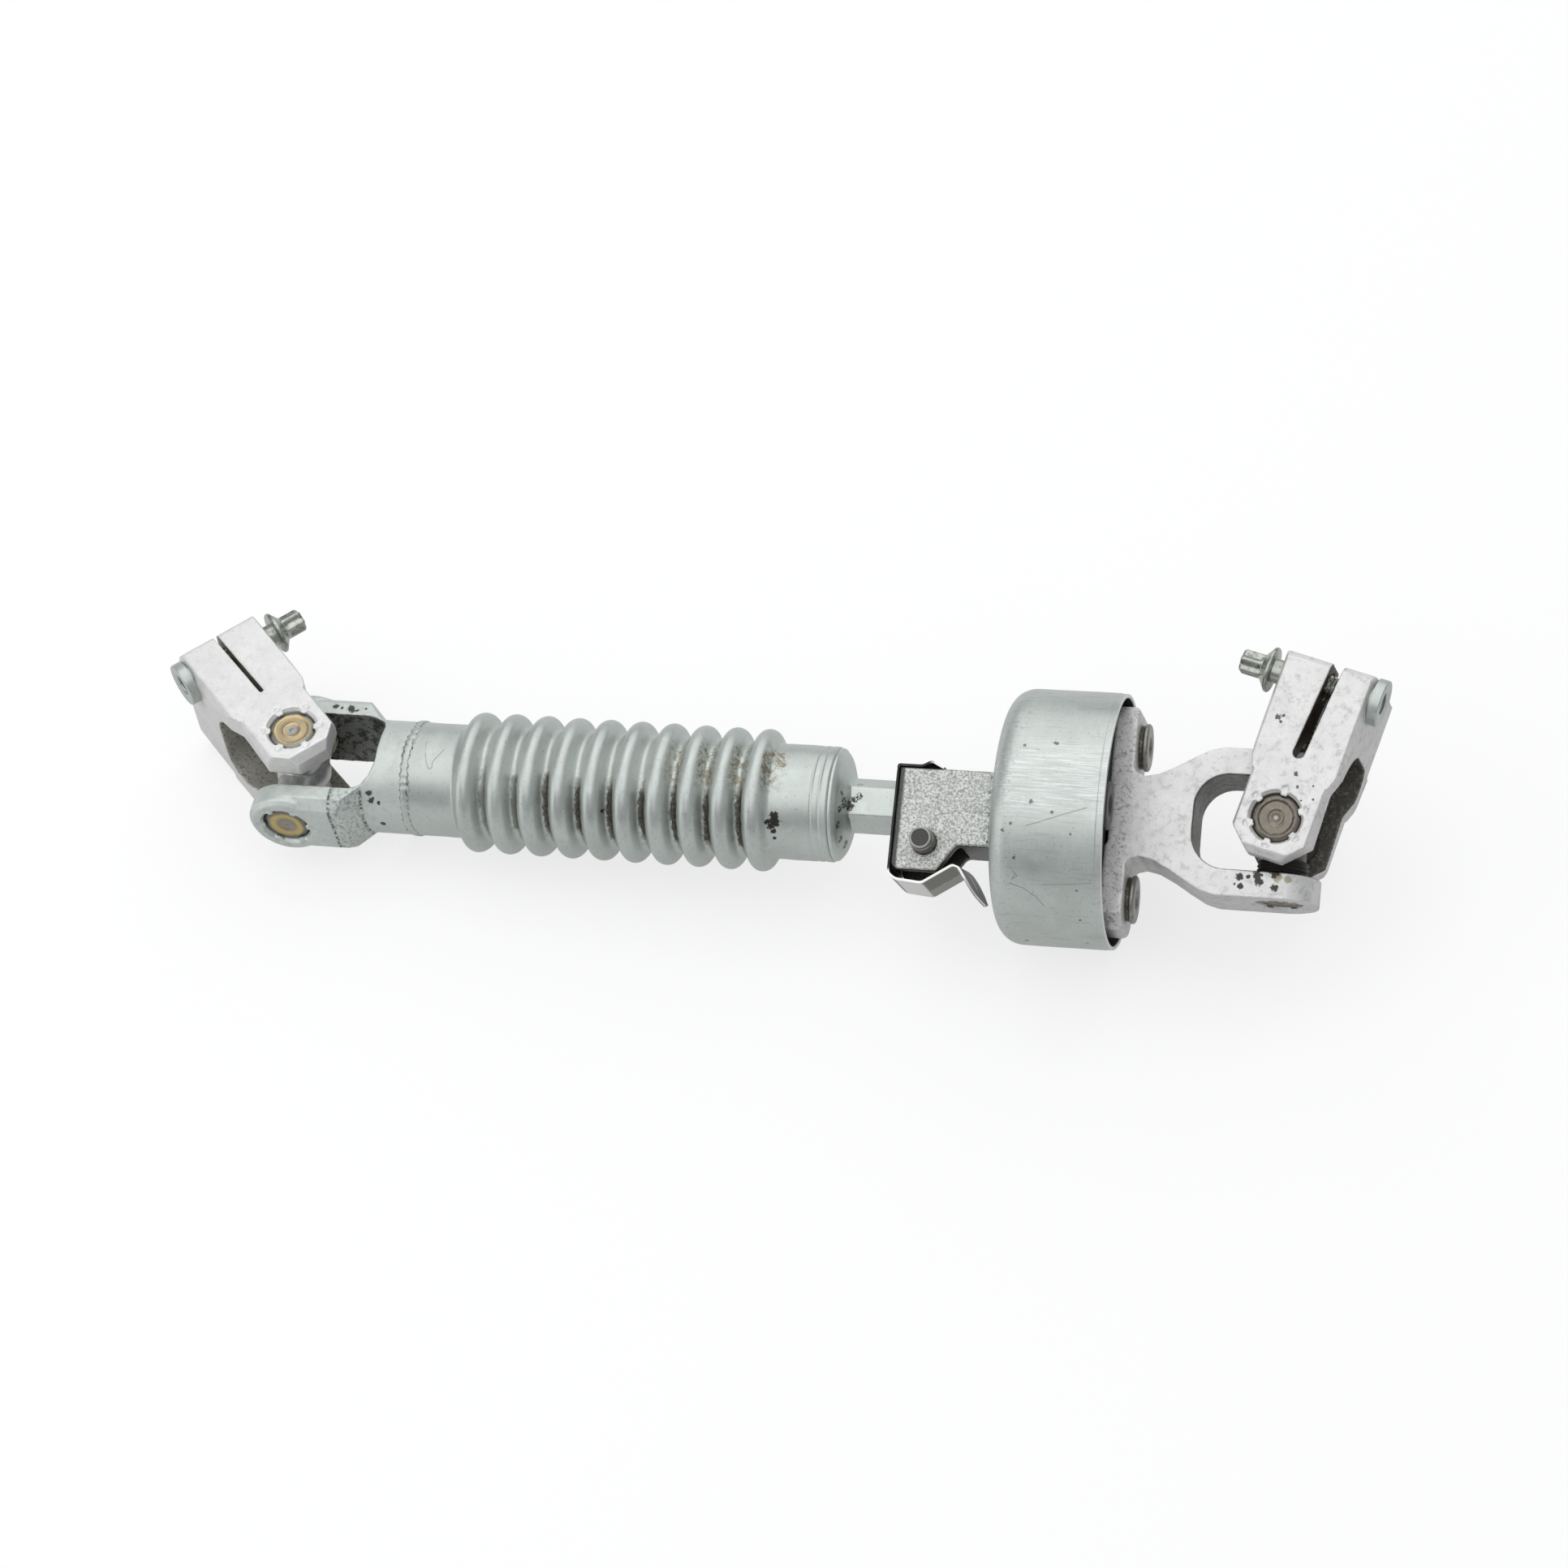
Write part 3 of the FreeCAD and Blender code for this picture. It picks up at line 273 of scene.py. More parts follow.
def make_object(name, vertices, faces, sharp=35.0):
    """Mesh object from arrays, doubles merged, faces outwards, smooth up to the sharp angle."""
    mesh = bpy.data.meshes.new(name)
    mesh.from_pydata(vertices.tolist(), [], faces.tolist())
    work = bmesh.new()
    work.from_mesh(mesh)
    bmesh.ops.remove_doubles(work, verts=work.verts, dist=1e-7)
    bmesh.ops.dissolve_degenerate(work, dist=1e-8, edges=work.edges)
    bmesh.ops.recalc_face_normals(work, faces=work.faces)
    work.to_mesh(mesh)
    work.free()
    mesh.shade_smooth()
    mesh.set_sharp_from_angle(angle=radians(sharp))
    thing = bpy.data.objects.new(name, mesh)
    bpy.context.scene.collection.objects.link(thing)
    return thing


def grid_faces(rows, columns, wrap_rows, wrap_columns, start=0):
    """Quads over a grid of points, wrapped round in either direction."""
    i = np.arange(rows if wrap_rows else rows - 1)
    j = np.arange(columns if wrap_columns else columns - 1)
    i, j = np.meshgrid(i, j, indexing="ij")
    ni = (i + 1) % rows
    nj = (j + 1) % columns
    quads = np.stack([i * columns + j, i * columns + nj, ni * columns + nj, ni * columns + j], axis=-1)
    return quads.reshape(-1, 4) + start


def softened(points, radius, steps=4):
    """Outline with each inner corner turned into a small curve: a quadratic blend from side to side."""
    points = [np.array(p, float) for p in points]
    result = [points[0]]
    for before, here, after in zip(points[:-2], points[1:-1], points[2:]):
        back = before - here
        ahead = after - here
        reach = min(radius, np.linalg.norm(back) * 0.45, np.linalg.norm(ahead) * 0.45)
        start = here + back / np.linalg.norm(back) * reach
        end = here + ahead / np.linalg.norm(ahead) * reach
        for step in range(steps + 1):
            t = step / steps
            result.append(start * (1 - t) ** 2 + here * 2 * t * (1 - t) + end * t * t)
    result.append(points[-1])
    return np.array(result)


def dense(profile, spacing):
    """Outline with extra points so that no step is longer than the spacing."""
    result = [profile[0]]
    for start, end in zip(profile[:-1], profile[1:]):
        count = max(1, int(np.ceil(np.linalg.norm(end - start) / spacing)))
        for step in range(1, count + 1):
            result.append(start + (end - start) * step / count)
    return np.array(result)


def turned_points(profile, steps, relief=None):
    """Points of a turned surface: x from the profile, y and z = radius times sine and cosine of the turn."""
    angle = np.linspace(0, 2 * pi, steps, endpoint=False)
    x = np.repeat(profile[:, 0], steps)
    radius = np.repeat(profile[:, 1], steps)
    turn = np.tile(angle, len(profile))
    if relief is not None:
        radius = radius + relief(x, radius, turn)
    return np.stack([x, radius * np.sin(turn), radius * np.cos(turn)], axis=-1)


def turned(name, profile, frame, steps, relief=None, closed=False, sharp=35.0):
    """Turned piece: a half section, in metres along x and out from it, carried round the frame's x axis."""
    points = turned_points(profile, steps, relief)
    faces = grid_faces(len(profile), steps, closed, True)
    return make_object(name, into(frame, points), faces, sharp)


def joined(name, pieces):
    """One object from several, each already in place."""
    vertices = []
    faces = []
    start = 0
    for piece in pieces:
        mesh = piece.data
        co = np.zeros(len(mesh.vertices) * 3)
        mesh.vertices.foreach_get("co", co)
        vertices.append(co.reshape(-1, 3))
        faces += [[v + start for v in polygon.vertices] for polygon in mesh.polygons]
        start += len(mesh.vertices)
    mesh = bpy.data.meshes.new(name)
    mesh.from_pydata(np.concatenate(vertices).tolist(), [], faces)
    mesh.shade_smooth()
    mesh.set_sharp_from_angle(angle=radians(35))
    thing = bpy.data.objects.new(name, mesh)
    bpy.context.scene.collection.objects.link(thing)
    for piece in pieces:
        bpy.data.objects.remove(piece)
    return thing


def turned_frame(frame, shift, along, across):
    """Frame moved by a shift in its own axes, with new axes given in the old ones."""
    origin, rows = frame
    return axes_from(origin + np.array(shift) @ rows, np.array(along) @ rows, np.array(across) @ rows)


def forged(name, node_name, grain, relief, passes=3, seed=1):
    """Forged skin over a solid: a copy is merged, rebuilt in even cells, its edges eased, and its
    surface moved along its normals by two sizes of smooth noise."""
    source = FRAME["nodes"][node_name]
    mesh = source.data.copy()
    work = bmesh.new()
    work.from_mesh(mesh)
    bmesh.ops.remove_doubles(work, verts=work.verts, dist=1e-6)
    work.to_mesh(mesh)
    work.free()
    thing = bpy.data.objects.new(name, mesh)
    bpy.context.scene.collection.objects.link(thing)
    cells = thing.modifiers.new("cells", "REMESH")
    cells.mode = "VOXEL"
    cells.voxel_size = grain
    ease = thing.modifiers.new("ease", "SMOOTH")
    ease.factor = 0.5
    ease.iterations = passes
    bpy.context.view_layer.update()
    built = bpy.data.meshes.new_from_object(thing.evaluated_get(bpy.context.evaluated_depsgraph_get()))
    thing.modifiers.clear()
    thing.data = built
    count = len(built.vertices)
    co = np.zeros(count * 3, np.float32)
    normal = np.zeros(count * 3, np.float32)
    built.vertices.foreach_get("co", co)
    built.vertices.foreach_get("normal", normal)
    co = co.reshape(-1, 3).astype(float)
    normal = normal.reshape(-1, 3)
    height = lattice_noise(co, BROAD_CELL, seed) * 0.65 + lattice_noise(co, FINE_CELL, seed + 1) * 0.35 - 0.5
    co = co + normal * (height * relief)[:, None]
    built.vertices.foreach_set("co", co.astype(np.float32).ravel())
    built.shade_smooth()
    built.update()
    return thing


def dress(piece, body, slot_name, material, *nodes):
    """Material, body and the solids that a piece stands for. The slot name is not used."""
    piece.data.materials.clear()
    piece.data.materials.append(material)
    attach(piece, body)
    if nodes:
        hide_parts(*nodes)
    return piece


class Coat:
    """A material built up in layers over one colour. Places are those of the object, in metres."""

    def __init__(self, name, colour, roughness, metallic):
        self.material = bpy.data.materials.new(name)
        self.material.use_nodes = True
        self.tree = self.material.node_tree
        self.shader = self.tree.nodes["Principled BSDF"]
        self.shader.inputs["Roughness"].default_value = roughness
        self.shader.inputs["Metallic"].default_value = metallic
        self.place = self.node("ShaderNodeTexCoord").outputs["Object"]
        self.colour = tuple(colour)

    def node(self, kind, **settings):
        """Shader node with its settings."""
        made = self.tree.nodes.new(kind)
        for key, value in settings.items():
            setattr(made, key, value)
        return made

    def feed(self, socket, value):
        """Value of an input: a link for a socket, a colour or a number otherwise."""
        if isinstance(value, bpy.types.NodeSocket):
            self.tree.links.new(value, socket)
        elif isinstance(value, (int, float)):
            socket.default_value = value
        else:
            socket.default_value = (*value, 1.0) if len(socket.default_value) == 4 else tuple(value)

    def maths(self, operation, first, second=0.0):
        """Result of one sum on sockets or numbers."""
        made = self.node("ShaderNodeMath", operation=operation)
        self.feed(made.inputs[0], first)
        self.feed(made.inputs[1], second)
        return made.outputs[0]

    def vectors(self, operation, first, second):
        """Result of one sum on vectors: a number for lengths and products, a vector otherwise."""
        made = self.node("ShaderNodeVectorMath", operation=operation)
        self.feed(made.inputs[0], first)
        self.feed(made.inputs[1], second)
        return made.outputs["Value" if operation in ("DISTANCE", "DOT_PRODUCT", "LENGTH") else "Vector"]

    def rise(self, source, low, high, start=0.0, end=1.0):
        """Factor that runs from start at low to end at high and stays level beyond them."""
        made = self.node("ShaderNodeMapRange", clamp=True)
        made.inputs["From Min"].default_value = low
        made.inputs["From Max"].default_value = high
        made.inputs["To Min"].default_value = start
        made.inputs["To Max"].default_value = end
        self.feed(made.inputs["Value"], source)
        return made.outputs["Result"]

    def fall(self, source, low, high):
        """Factor that is 1 up to low and 0 from high on."""
        return self.rise(source, low, high, 1.0, 0.0)

    def within(self, source, low, high, soft):
        """Factor that is 1 between two values and fades over a soft edge."""
        above = self.rise(source, low - soft, low + soft)
        return self.both(above, self.fall(source, high - soft, high + soft))

    def both(self, *factors):
        """Product of factors."""
        total = factors[0]
        for factor in factors[1:]:
            total = self.maths("MULTIPLY", total, factor)
        return total

    def either(self, *factors):
        """Largest of several factors."""
        total = factors[0]
        for factor in factors[1:]:
            total = self.maths("MAXIMUM", total, factor)
        return total

    def own(self, frame, stretch=(1, 1, 1)):
        """Place in a frame's own axes, stretched if asked."""
        origin, rows = frame
        turn = self.node("ShaderNodeMapping", vector_type="TEXTURE")
        turn.inputs["Location"].default_value = origin
        turn.inputs["Rotation"].default_value = Matrix(rows.T.tolist()).to_euler()
        self.feed(turn.inputs["Vector"], self.place)
        if tuple(stretch) == (1, 1, 1):
            return turn.outputs["Vector"]
        scale = self.node("ShaderNodeMapping", vector_type="POINT")
        scale.inputs["Scale"].default_value = stretch
        self.feed(scale.inputs["Vector"], turn.outputs["Vector"])
        return scale.outputs["Vector"]

    def parts(self, vector):
        """The x, y and z of a vector."""
        split = self.node("ShaderNodeSeparateXYZ")
        self.feed(split.inputs[0], vector)
        return split.outputs[0], split.outputs[1], split.outputs[2]

    def reach(self, first, second):
        """Length of the hypotenuse over two sides."""
        squares = [self.maths("MULTIPLY", side, side) for side in (first, second)]
        return self.maths("SQRT", self.maths("ADD", *squares))

    def noise(self, size, detail=3.0, roughness=0.55, distortion=0.0, vector=None):
        """Noise whose grains are about the given size in metres."""
        made = self.node("ShaderNodeTexNoise")
        made.inputs["Scale"].default_value = 1.0 / size
        made.inputs["Detail"].default_value = detail
        made.inputs["Roughness"].default_value = roughness
        made.inputs["Distortion"].default_value = distortion
        self.feed(made.inputs["Vector"], self.place if vector is None else vector)
        return made.outputs["Fac"]

    def grains(self, low, high, size, *settings):
        """Factor that is 0 where the noise of a size is below low and 1 where it is above high."""
        return self.rise(self.noise(size, *settings), low, high)

    def layer(self, factor, colour, amount=1.0):
        """Lays a colour over what is there, by a factor and an amount."""
        made = self.node("ShaderNodeMix", data_type="RGBA")
        self.feed(made.inputs[0], factor if amount == 1.0 else self.maths("MULTIPLY", factor, amount))
        self.feed(made.inputs[6], self.colour)
        self.feed(made.inputs[7], colour)
        self.colour = made.outputs[2]

    def wander(self, noise, amount):
        """Noise about zero, times an amount."""
        return self.maths("MULTIPLY", self.maths("SUBTRACT", noise, 0.5), amount)

    def brushed(self, frame, turn, stretch):
        """Place in a frame's own axes, turned about z and then stretched."""
        skew = self.node("ShaderNodeMapping", vector_type="POINT")
        skew.inputs["Rotation"].default_value = (0, 0, turn)
        skew.inputs["Scale"].default_value = stretch
        self.feed(skew.inputs["Vector"], self.own(frame))
        return skew.outputs["Vector"]

    def spots(self, places, ragged=1.6 * MM, uneven=1.6):
        """Factor that is 1 inside any of the ragged spots, each given as (point, radius)."""
        edge = self.noise(ragged, 4.0, 0.68)
        total = None
        for point, radius in places:
            away = self.vectors("DISTANCE", self.place, tuple(point))
            away = self.maths("ADD", away, self.wander(edge, radius * uneven))
            factor = self.fall(away, radius * 0.72, radius * 0.95)
            total = factor if total is None else self.maths("MAXIMUM", total, factor)
        return total

    def strokes(self, lines, width):
        """Factor that is 1 on thin lines, each from one point to another, and fades at half a width."""
        total = None
        for start, end in lines:
            start = np.array(start)
            run = np.array(end) - start
            offset = self.vectors("SUBTRACT", self.place, tuple(start))
            share = self.vectors("DOT_PRODUCT", offset, tuple(run / run.dot(run)))
            share = self.maths("MINIMUM", self.maths("MAXIMUM", share, 0.0), 1.0)
            scale = self.node("ShaderNodeVectorMath", operation="SCALE")
            scale.inputs[0].default_value = tuple(run)
            self.feed(scale.inputs["Scale"], share)
            away = self.vectors("DISTANCE", offset, scale.outputs["Vector"])
            factor = self.fall(away, width * 0.25, width * 0.6)
            total = factor if total is None else self.maths("MAXIMUM", total, factor)
        return total

    def relief(self, height, strength, distance):
        """Bump from a height."""
        bump = self.node("ShaderNodeBump")
        bump.inputs["Strength"].default_value = strength
        bump.inputs["Distance"].default_value = distance
        self.feed(bump.inputs["Height"], height)
        self.feed(self.shader.inputs["Normal"], bump.outputs["Normal"])

    def done(self):
        """Links the colour and gives the material."""
        self.feed(self.shader.inputs["Base Color"], self.colour)
        return self.material


def scaled(colour, share):
    """Colour times a share, kept below white."""
    return tuple(min(0.95, part * share) for part in colour)


def zinc_coat(name, share=1.0, frame=None):
    """Satin zinc plate: cloudy, with pale bloom and dull specks, and turning marks about a frame's axis."""
    coat = Coat(name, scaled(finish().zinc, share), 0.40, 0.72)
    colour = scaled(finish().zinc, share)
    cloud = coat.noise(17 * MM, 4.0, 0.6)
    coat.layer(coat.fall(cloud, 0.34, 0.58), scaled(colour, 0.86), 0.9)
    coat.layer(coat.grains(0.56, 0.72, 6.5 * MM, 5.0, 0.7, 0.5), scaled(colour, 1.16), 0.6)
    coat.layer(coat.grains(0.60, 0.70, 2.6 * MM, 5.0, 0.72), scaled(colour, 0.62), 0.32)
    coat.layer(coat.grains(0.66, 0.70, 0.75 * MM, 2.0, 0.5), scaled(colour, 0.30), 0.45)
    if frame is not None:
        lines = coat.noise(5 * MM, 4.0, 0.6, 0.0, coat.own(frame, (16.0, 1.0, 1.0)))
        coat.layer(coat.rise(lines, 0.42, 0.70), scaled(colour, 0.78), 0.30)
    coat.feed(coat.shader.inputs["Roughness"], coat.rise(cloud, 0.3, 0.7, 0.33, 0.46))
    coat.relief(coat.noise(0.9 * MM, 3.0, 0.65), 0.14, 0.08 * MM)
    return coat


def facing(coat, frame, direction):
    """Cosine between a round surface's own outward side and a direction square to its axis."""
    offset = coat.vectors("SUBTRACT", coat.place, tuple(frame[0]))
    ahead = coat.vectors("DOT_PRODUCT", offset, tuple(direction))
    along, across, up = coat.parts(coat.own(frame))
    radius = coat.reach(across, up)
    return coat.maths("DIVIDE", ahead, radius), along, radius


def tube_coat(name):
    """Zinc of the tube with dirt and painted shade in its valleys, brown stains near the top, chips and a dried
    drip.
    """
    coat = zinc_coat(name, 1.0, SHAFT)
    sizes = surface()
    front, along, radius = facing(coat, SHAFT, into_direction(SHAFT, -52))
    first = TUBE_START + sizes.ring_lead
    last = first + (sizes.ring_count - 1) * sizes.ring_pitch
    rings = coat.within(along, first + 3.0 * MM, last, 1.0 * MM)
    ragged = coat.noise(1.7 * MM, 4.0, 0.75, 0.0, coat.own(SHAFT, (1.0, 0.5, 0.5)))
    phase = coat.maths("MODULO", coat.maths("SUBTRACT", along, first), sizes.ring_pitch)
    phase = coat.maths("ADD", phase, coat.wander(ragged, 3.4 * MM))
    # Black line in the right of each valley, where the next ring rises, on the lower front side only: dirt, and
    # painted shade in that crevice.
    line = coat.within(phase, 5.0 * MM, 7.3 * MM, 0.25 * MM)
    low, along, radius = facing(coat, SHAFT, into_direction(SHAFT, -59))
    thin = coat.noise(7 * MM, 3.0, 0.6, 0.0)
    shown = coat.rise(coat.maths("ADD", low, coat.maths("MULTIPLY", thin, 0.40)), 1.03, 1.12)
    gain = coat.rise(along, first + 8 * MM, first + 30 * MM, 0.45, 1.0)
    coat.layer(coat.both(line, shown, rings, gain), BLACK_DIRT, 0.92)
    dust = coat.both(coat.within(phase, 4.4 * MM, 7.8 * MM, 0.8 * MM), rings,
                     coat.rise(coat.maths("ADD", low, coat.maths("MULTIPLY", thin, 0.40)), 0.85, 1.1))
    coat.layer(coat.both(dust, coat.grains(0.46, 0.60, 1.1 * MM, 4.0, 0.7)), (0.25, 0.225, 0.18), 0.55)
    top, along, radius = facing(coat, SHAFT, into_direction(SHAFT, -4))
    late = coat.within(along, first + 6.3 * sizes.ring_pitch, last + 7.2 * MM, 3.0 * MM)
    stain = coat.grains(0.45, 0.58, 2.0 * MM, 5.0, 0.78)
    side = coat.fall(radius, RING_RADIUS - 1.6 * MM, RING_RADIUS - 0.5 * MM)
    coat.layer(coat.both(stain, late, side, coat.rise(top, 0.88, 0.97)), BROWN_STAIN, 0.85)
    patch = [(on_turn(SHAFT, 167.9, 19.1, 12), 2.6 * MM), (on_turn(SHAFT, 168.4, 19.1, 4), 2.2 * MM),
             (on_turn(SHAFT, 170.0, 19.0, 1), 1.1 * MM), (on_turn(SHAFT, 165.0, 21.2, 2), 2.4 * MM),
             (on_turn(SHAFT, 164.6, 21.4, -9), 1.9 * MM)]
    crumbs = coat.grains(0.45, 0.53, 1.3 * MM, 5.0, 0.8)
    coat.layer(coat.both(coat.spots(patch, 1.1 * MM, 2.4), crumbs), (0.24, 0.19, 0.11), 0.85)
    crest = coat.rise(radius, RING_RADIUS - 0.5 * MM, RING_RADIUS - 0.1 * MM)
    rub = coat.grains(0.50, 0.66, 0.9 * MM, 4.0, 0.7, 0.0, coat.own(SHAFT, (1.0, 0.35, 0.35)))
    coat.layer(coat.both(crest, rub, coat.rise(front, 0.55, 0.95)), (0.42, 0.43, 0.42), 0.55)
    chip = [(on_turn(SHAFT, 168.9, 19.1, -52), 1.9 * MM), (on_turn(SHAFT, 168.8, 19.0, -58), 2.1 * MM),
            (on_turn(SHAFT, 168.3, 19.0, -68), 1.2 * MM), (on_turn(SHAFT, 166.8, 19.8, -58), 1.3 * MM),
            (on_turn(SHAFT, 168.5, 19.0, -76), 0.7 * MM), (on_turn(SHAFT, 167.6, 19.1, -63), 1.5 * MM),
            (on_turn(SHAFT, 112.0, 20.6, -56), 1.5 * MM)]
    coat.layer(coat.spots(chip, 0.9 * MM, 2.2), BLACK_DIRT, 0.96)
    drip = [(47.7, 2), (48.6, -12), (49.6, -22), (50.6, -27), (51.6, -25), (51.4, -20), (53.0, -12),
            (54.6, -5)]
    drip = [on_turn(SHAFT, x, 19.0, turn) for x, turn in drip]
    coat.layer(coat.strokes(chain(drip), 0.42 * MM), (0.30, 0.285, 0.235), 0.72)
    return coat.done()


def into_direction(frame, degrees):
    """Unit direction square to a frame's x axis, at a turn from z towards y, in the row frame."""
    angle = radians(degrees)
    return np.array([0.0, sin(angle), cos(angle)]) @ frame[1]


def weld_coat(name):
    """Zinc over the weld, with a line of dark pores along each toe."""
    coat = zinc_coat(name, 0.94)
    along = coat.parts(coat.own(SHAFT))[0]
    middle = TUBE_START - 0.3 * MM
    away = coat.maths("ABSOLUTE", coat.maths("SUBTRACT", along, middle))
    wobble = coat.wander(coat.noise(4 * MM, 2.0), 1.6 * MM)
    toe = coat.within(coat.maths("ADD", away, wobble), 1.05 * MM, 1.55 * MM, 0.2 * MM)
    pores = coat.grains(0.47, 0.54, 1.0 * MM, 3.0, 0.7)
    coat.layer(coat.both(toe, pores), DARK_STEEL, 0.88)
    return coat.done()


def plug_coat(name):
    """Zinc of the slip shaft with grains of dirt round the root of its neck."""
    coat = zinc_coat(name, 1.08, RIGHT_HALF)
    root = [(189.0, -4.1, 13.4, 1.7), (188.7, -9.1, 12.1, 1.6), (188.9, -12.6, 7.1, 1.6),
            (194.4, 1.7, 8.3, 1.3), (192.7, 0.2, 8.6, 1.7), (191.5, -1.9, 8.8, 2.0),
            (189.9, -1.9, 11.6, 2.1), (189.3, -13.2, 0.7, 2.0),
            (189.3, 1.1, 13.4, 1.2), (193.8, 6.3, 6.0, 1.1)]
    grains = coat.grains(0.44, 0.50, 0.9 * MM, 4.0, 0.75)
    coat.layer(coat.both(coat.spots(marks(RIGHT_HALF, root)), grains), BLACK_DIRT, 0.95)
    return coat.done()


def cup_coat(name):
    """Zinc of the cup: brushed band painted pale as a highlight, knocks along its shoulder, scratches, an inside
    painted near black as shade and a rim painted pale as a highlight.
    """
    coat = zinc_coat(name, 0.99, RIGHT_HALF)
    for turn, size, low, amount in ((0.62, 1.9 * MM, 0.60, 0.35), (-0.9, 2.6 * MM, 0.64, 0.28)):
        skew = coat.brushed(RIGHT_HALF, turn, (0.14, 2.6, 1.0))
        coat.layer(coat.grains(low, low + 0.04, size, 4.0, 0.6, 0.0, skew),
                   (0.36, 0.37, 0.36), amount)
    # Brushed hairlines painted near white only in the band facing up: a painted highlight over the real brushing.
    front, along, radius = facing(coat, RIGHT_HALF, into_direction(RIGHT_HALF, 6))
    brushed = coat.brushed(RIGHT_HALF, 1.15, (0.10, 3.2, 1.6))
    sheen_hairlines = coat.grains(0.50, 0.62, 1.1 * MM, 4.0, 0.65, 0.0, brushed)
    coat.layer(coat.both(sheen_hairlines, coat.rise(front, 0.93, 0.995)), (0.88, 0.90, 0.89), 0.62)
    shoulder = coat.within(along, CUP_START + 6.5 * MM, CUP_START + 11.5 * MM, 1.2 * MM)
    knocks = coat.grains(0.615, 0.66, 1.5 * MM, 4.0, 0.75)
    coat.layer(coat.both(shoulder, knocks), (0.17, 0.165, 0.15), 0.6)
    dark = [(262.3, 23, 0.9), (252.4, 21, 0.7), (263.1, -9, 0.7), (256.4, -5, 0.8), (250.4, -15, 0.7),
            (251.9, -30, 0.7), (271.6, -44, 0.5), (272.9, -82, 0.6), (252.9, -84, 0.8), (272.1, -61, 0.6),
            (247.8, -18, 0.8), (269.4, -18, 0.5)]
    coat.layer(coat.spots(turned_marks(RIGHT_HALF, 41.5, dark), 0.8 * MM, 2.4),
               (0.10, 0.095, 0.08), 0.8)
    long_scratch = [(255.6, -15.4), (261.5, -12.5), (267.0, -9.6), (274.1, -6.2)]
    curved = [(250.5, -42.4), (254.7, -44.4), (258.7, -48.9), (260.9, -53.4)]
    level = [(260.7, -41.8), (268.0, -41.2), (276.1, -39.7)]
    scuff = [(251.4, -36.0), (252.8, -38.6), (251.0, -40.4), (252.2, -37.2)]
    for points, width, amount in ((long_scratch, 0.42 * MM, 0.6), (curved, 0.36 * MM, 0.7),
                                  (level, 0.40 * MM, 0.45), (scuff, 0.32 * MM, 0.6)):
        places = [on_turn(RIGHT_HALF, x, 41.5, turn) for x, turn in points]
        coat.layer(coat.strokes(chain(places), width), (0.20, 0.205, 0.20), amount)
    # Inner wall of the cup painted near black: painted shade.
    inside = coat.both(coat.fall(radius, CUP_RADIUS - 1.3 * MM, CUP_RADIUS - 0.9 * MM),
                       coat.rise(along, CUP_START + 10 * MM, CUP_START + 11 * MM))
    coat.layer(inside, (0.030, 0.029, 0.027), 0.93)
    # Lip of the rim painted pale: a painted highlight along the edge.
    rim = coat.rise(along, CUP_RIM - 0.5 * MM, CUP_RIM - 0.2 * MM)
    coat.layer(rim, (0.86, 0.87, 0.86), 0.7)
    return coat.done()


def forging_coat(name, colour, mottling=0.5, flecks=0.65, rough=0.42, metallic=0.45):
    """Bright coat on a forging: fine grain, grey mottling and dark flecks."""
    coat = Coat(name, colour, rough, metallic)
    mottle = coat.noise(3.0 * MM, 6.0, 0.75, 0.2)
    coat.layer(coat.fall(coat.noise(10 * MM, 5.0, 0.65, 0.3), 0.36, 0.60), scaled(colour, 0.90), 0.8)
    coat.layer(coat.rise(mottle, 0.52, 0.64), scaled(colour, 0.66), mottling)
    coat.layer(coat.grains(0.56, 0.68, 0.9 * MM, 3.0, 0.6), scaled(colour, 0.70), 0.35)
    coat.layer(coat.grains(0.655, 0.70, 1.9 * MM, 5.0, 0.78), (0.11, 0.105, 0.10), flecks)
    coat.feed(coat.shader.inputs["Roughness"], coat.rise(mottle, 0.3, 0.7, rough - 0.07, rough + 0.12))
    height = coat.maths("ADD", coat.maths("MULTIPLY", coat.noise(0.8 * MM, 3.0, 0.6), 0.6), mottle)
    coat.relief(height, 0.40, 0.20 * MM)
    return coat


def inner_faces(coat, frame, pin_axis, throat, corner):
    """Factor that is 1 between a yoke's ears, inside the rounded outline of its throat.

    The outline is a box with round corners: beyond its corner's middle a point's distance is the length
    of its offset, and on the sides it is the larger of the two. The sign of throat gives its side.
    """
    own = coat.parts(coat.own(frame))
    deep = coat.maths("MULTIPLY", own[0], 1.0 if throat > 0 else -1.0)
    deep = coat.maths("ADD", deep, corner - abs(throat))
    side = coat.maths("ADD", coat.maths("ABSOLUTE", own[pin_axis]), corner - EAR_GAP)
    outer = coat.reach(coat.maths("MAXIMUM", deep, 0.0), coat.maths("MAXIMUM", side, 0.0))
    inner = coat.maths("MINIMUM", coat.maths("MAXIMUM", deep, side), 0.0)
    return coat.fall(coat.maths("ADD", outer, inner), corner + 0.10 * MM, corner + 0.40 * MM)


def left_clamp_coat(name):
    """Clean bright forging, with painted shade between its ears and grey in its slot."""
    coat = forging_coat(name, scaled(finish().forging, 1.06), 0.25, 0.10)
    throat = inner_faces(coat, LEFT_CLAMP, 2, CLAMP_THROAT, CLAMP_CORNER)
    # Faces between the ears painted grey: painted shade. The dark specks over them are dirt.
    coat.layer(throat, (0.37, 0.355, 0.30), 0.75)
    specks = coat.grains(0.54, 0.60, 1.1 * MM, 4.0, 0.75)
    coat.layer(coat.both(throat, specks), (0.12, 0.11, 0.08), 0.7)
    coat.layer(slot_faces(coat, LEFT_CLAMP, 1.5 * MM, 1.4), (0.235, 0.22, 0.145), 0.85)
    return coat.done()


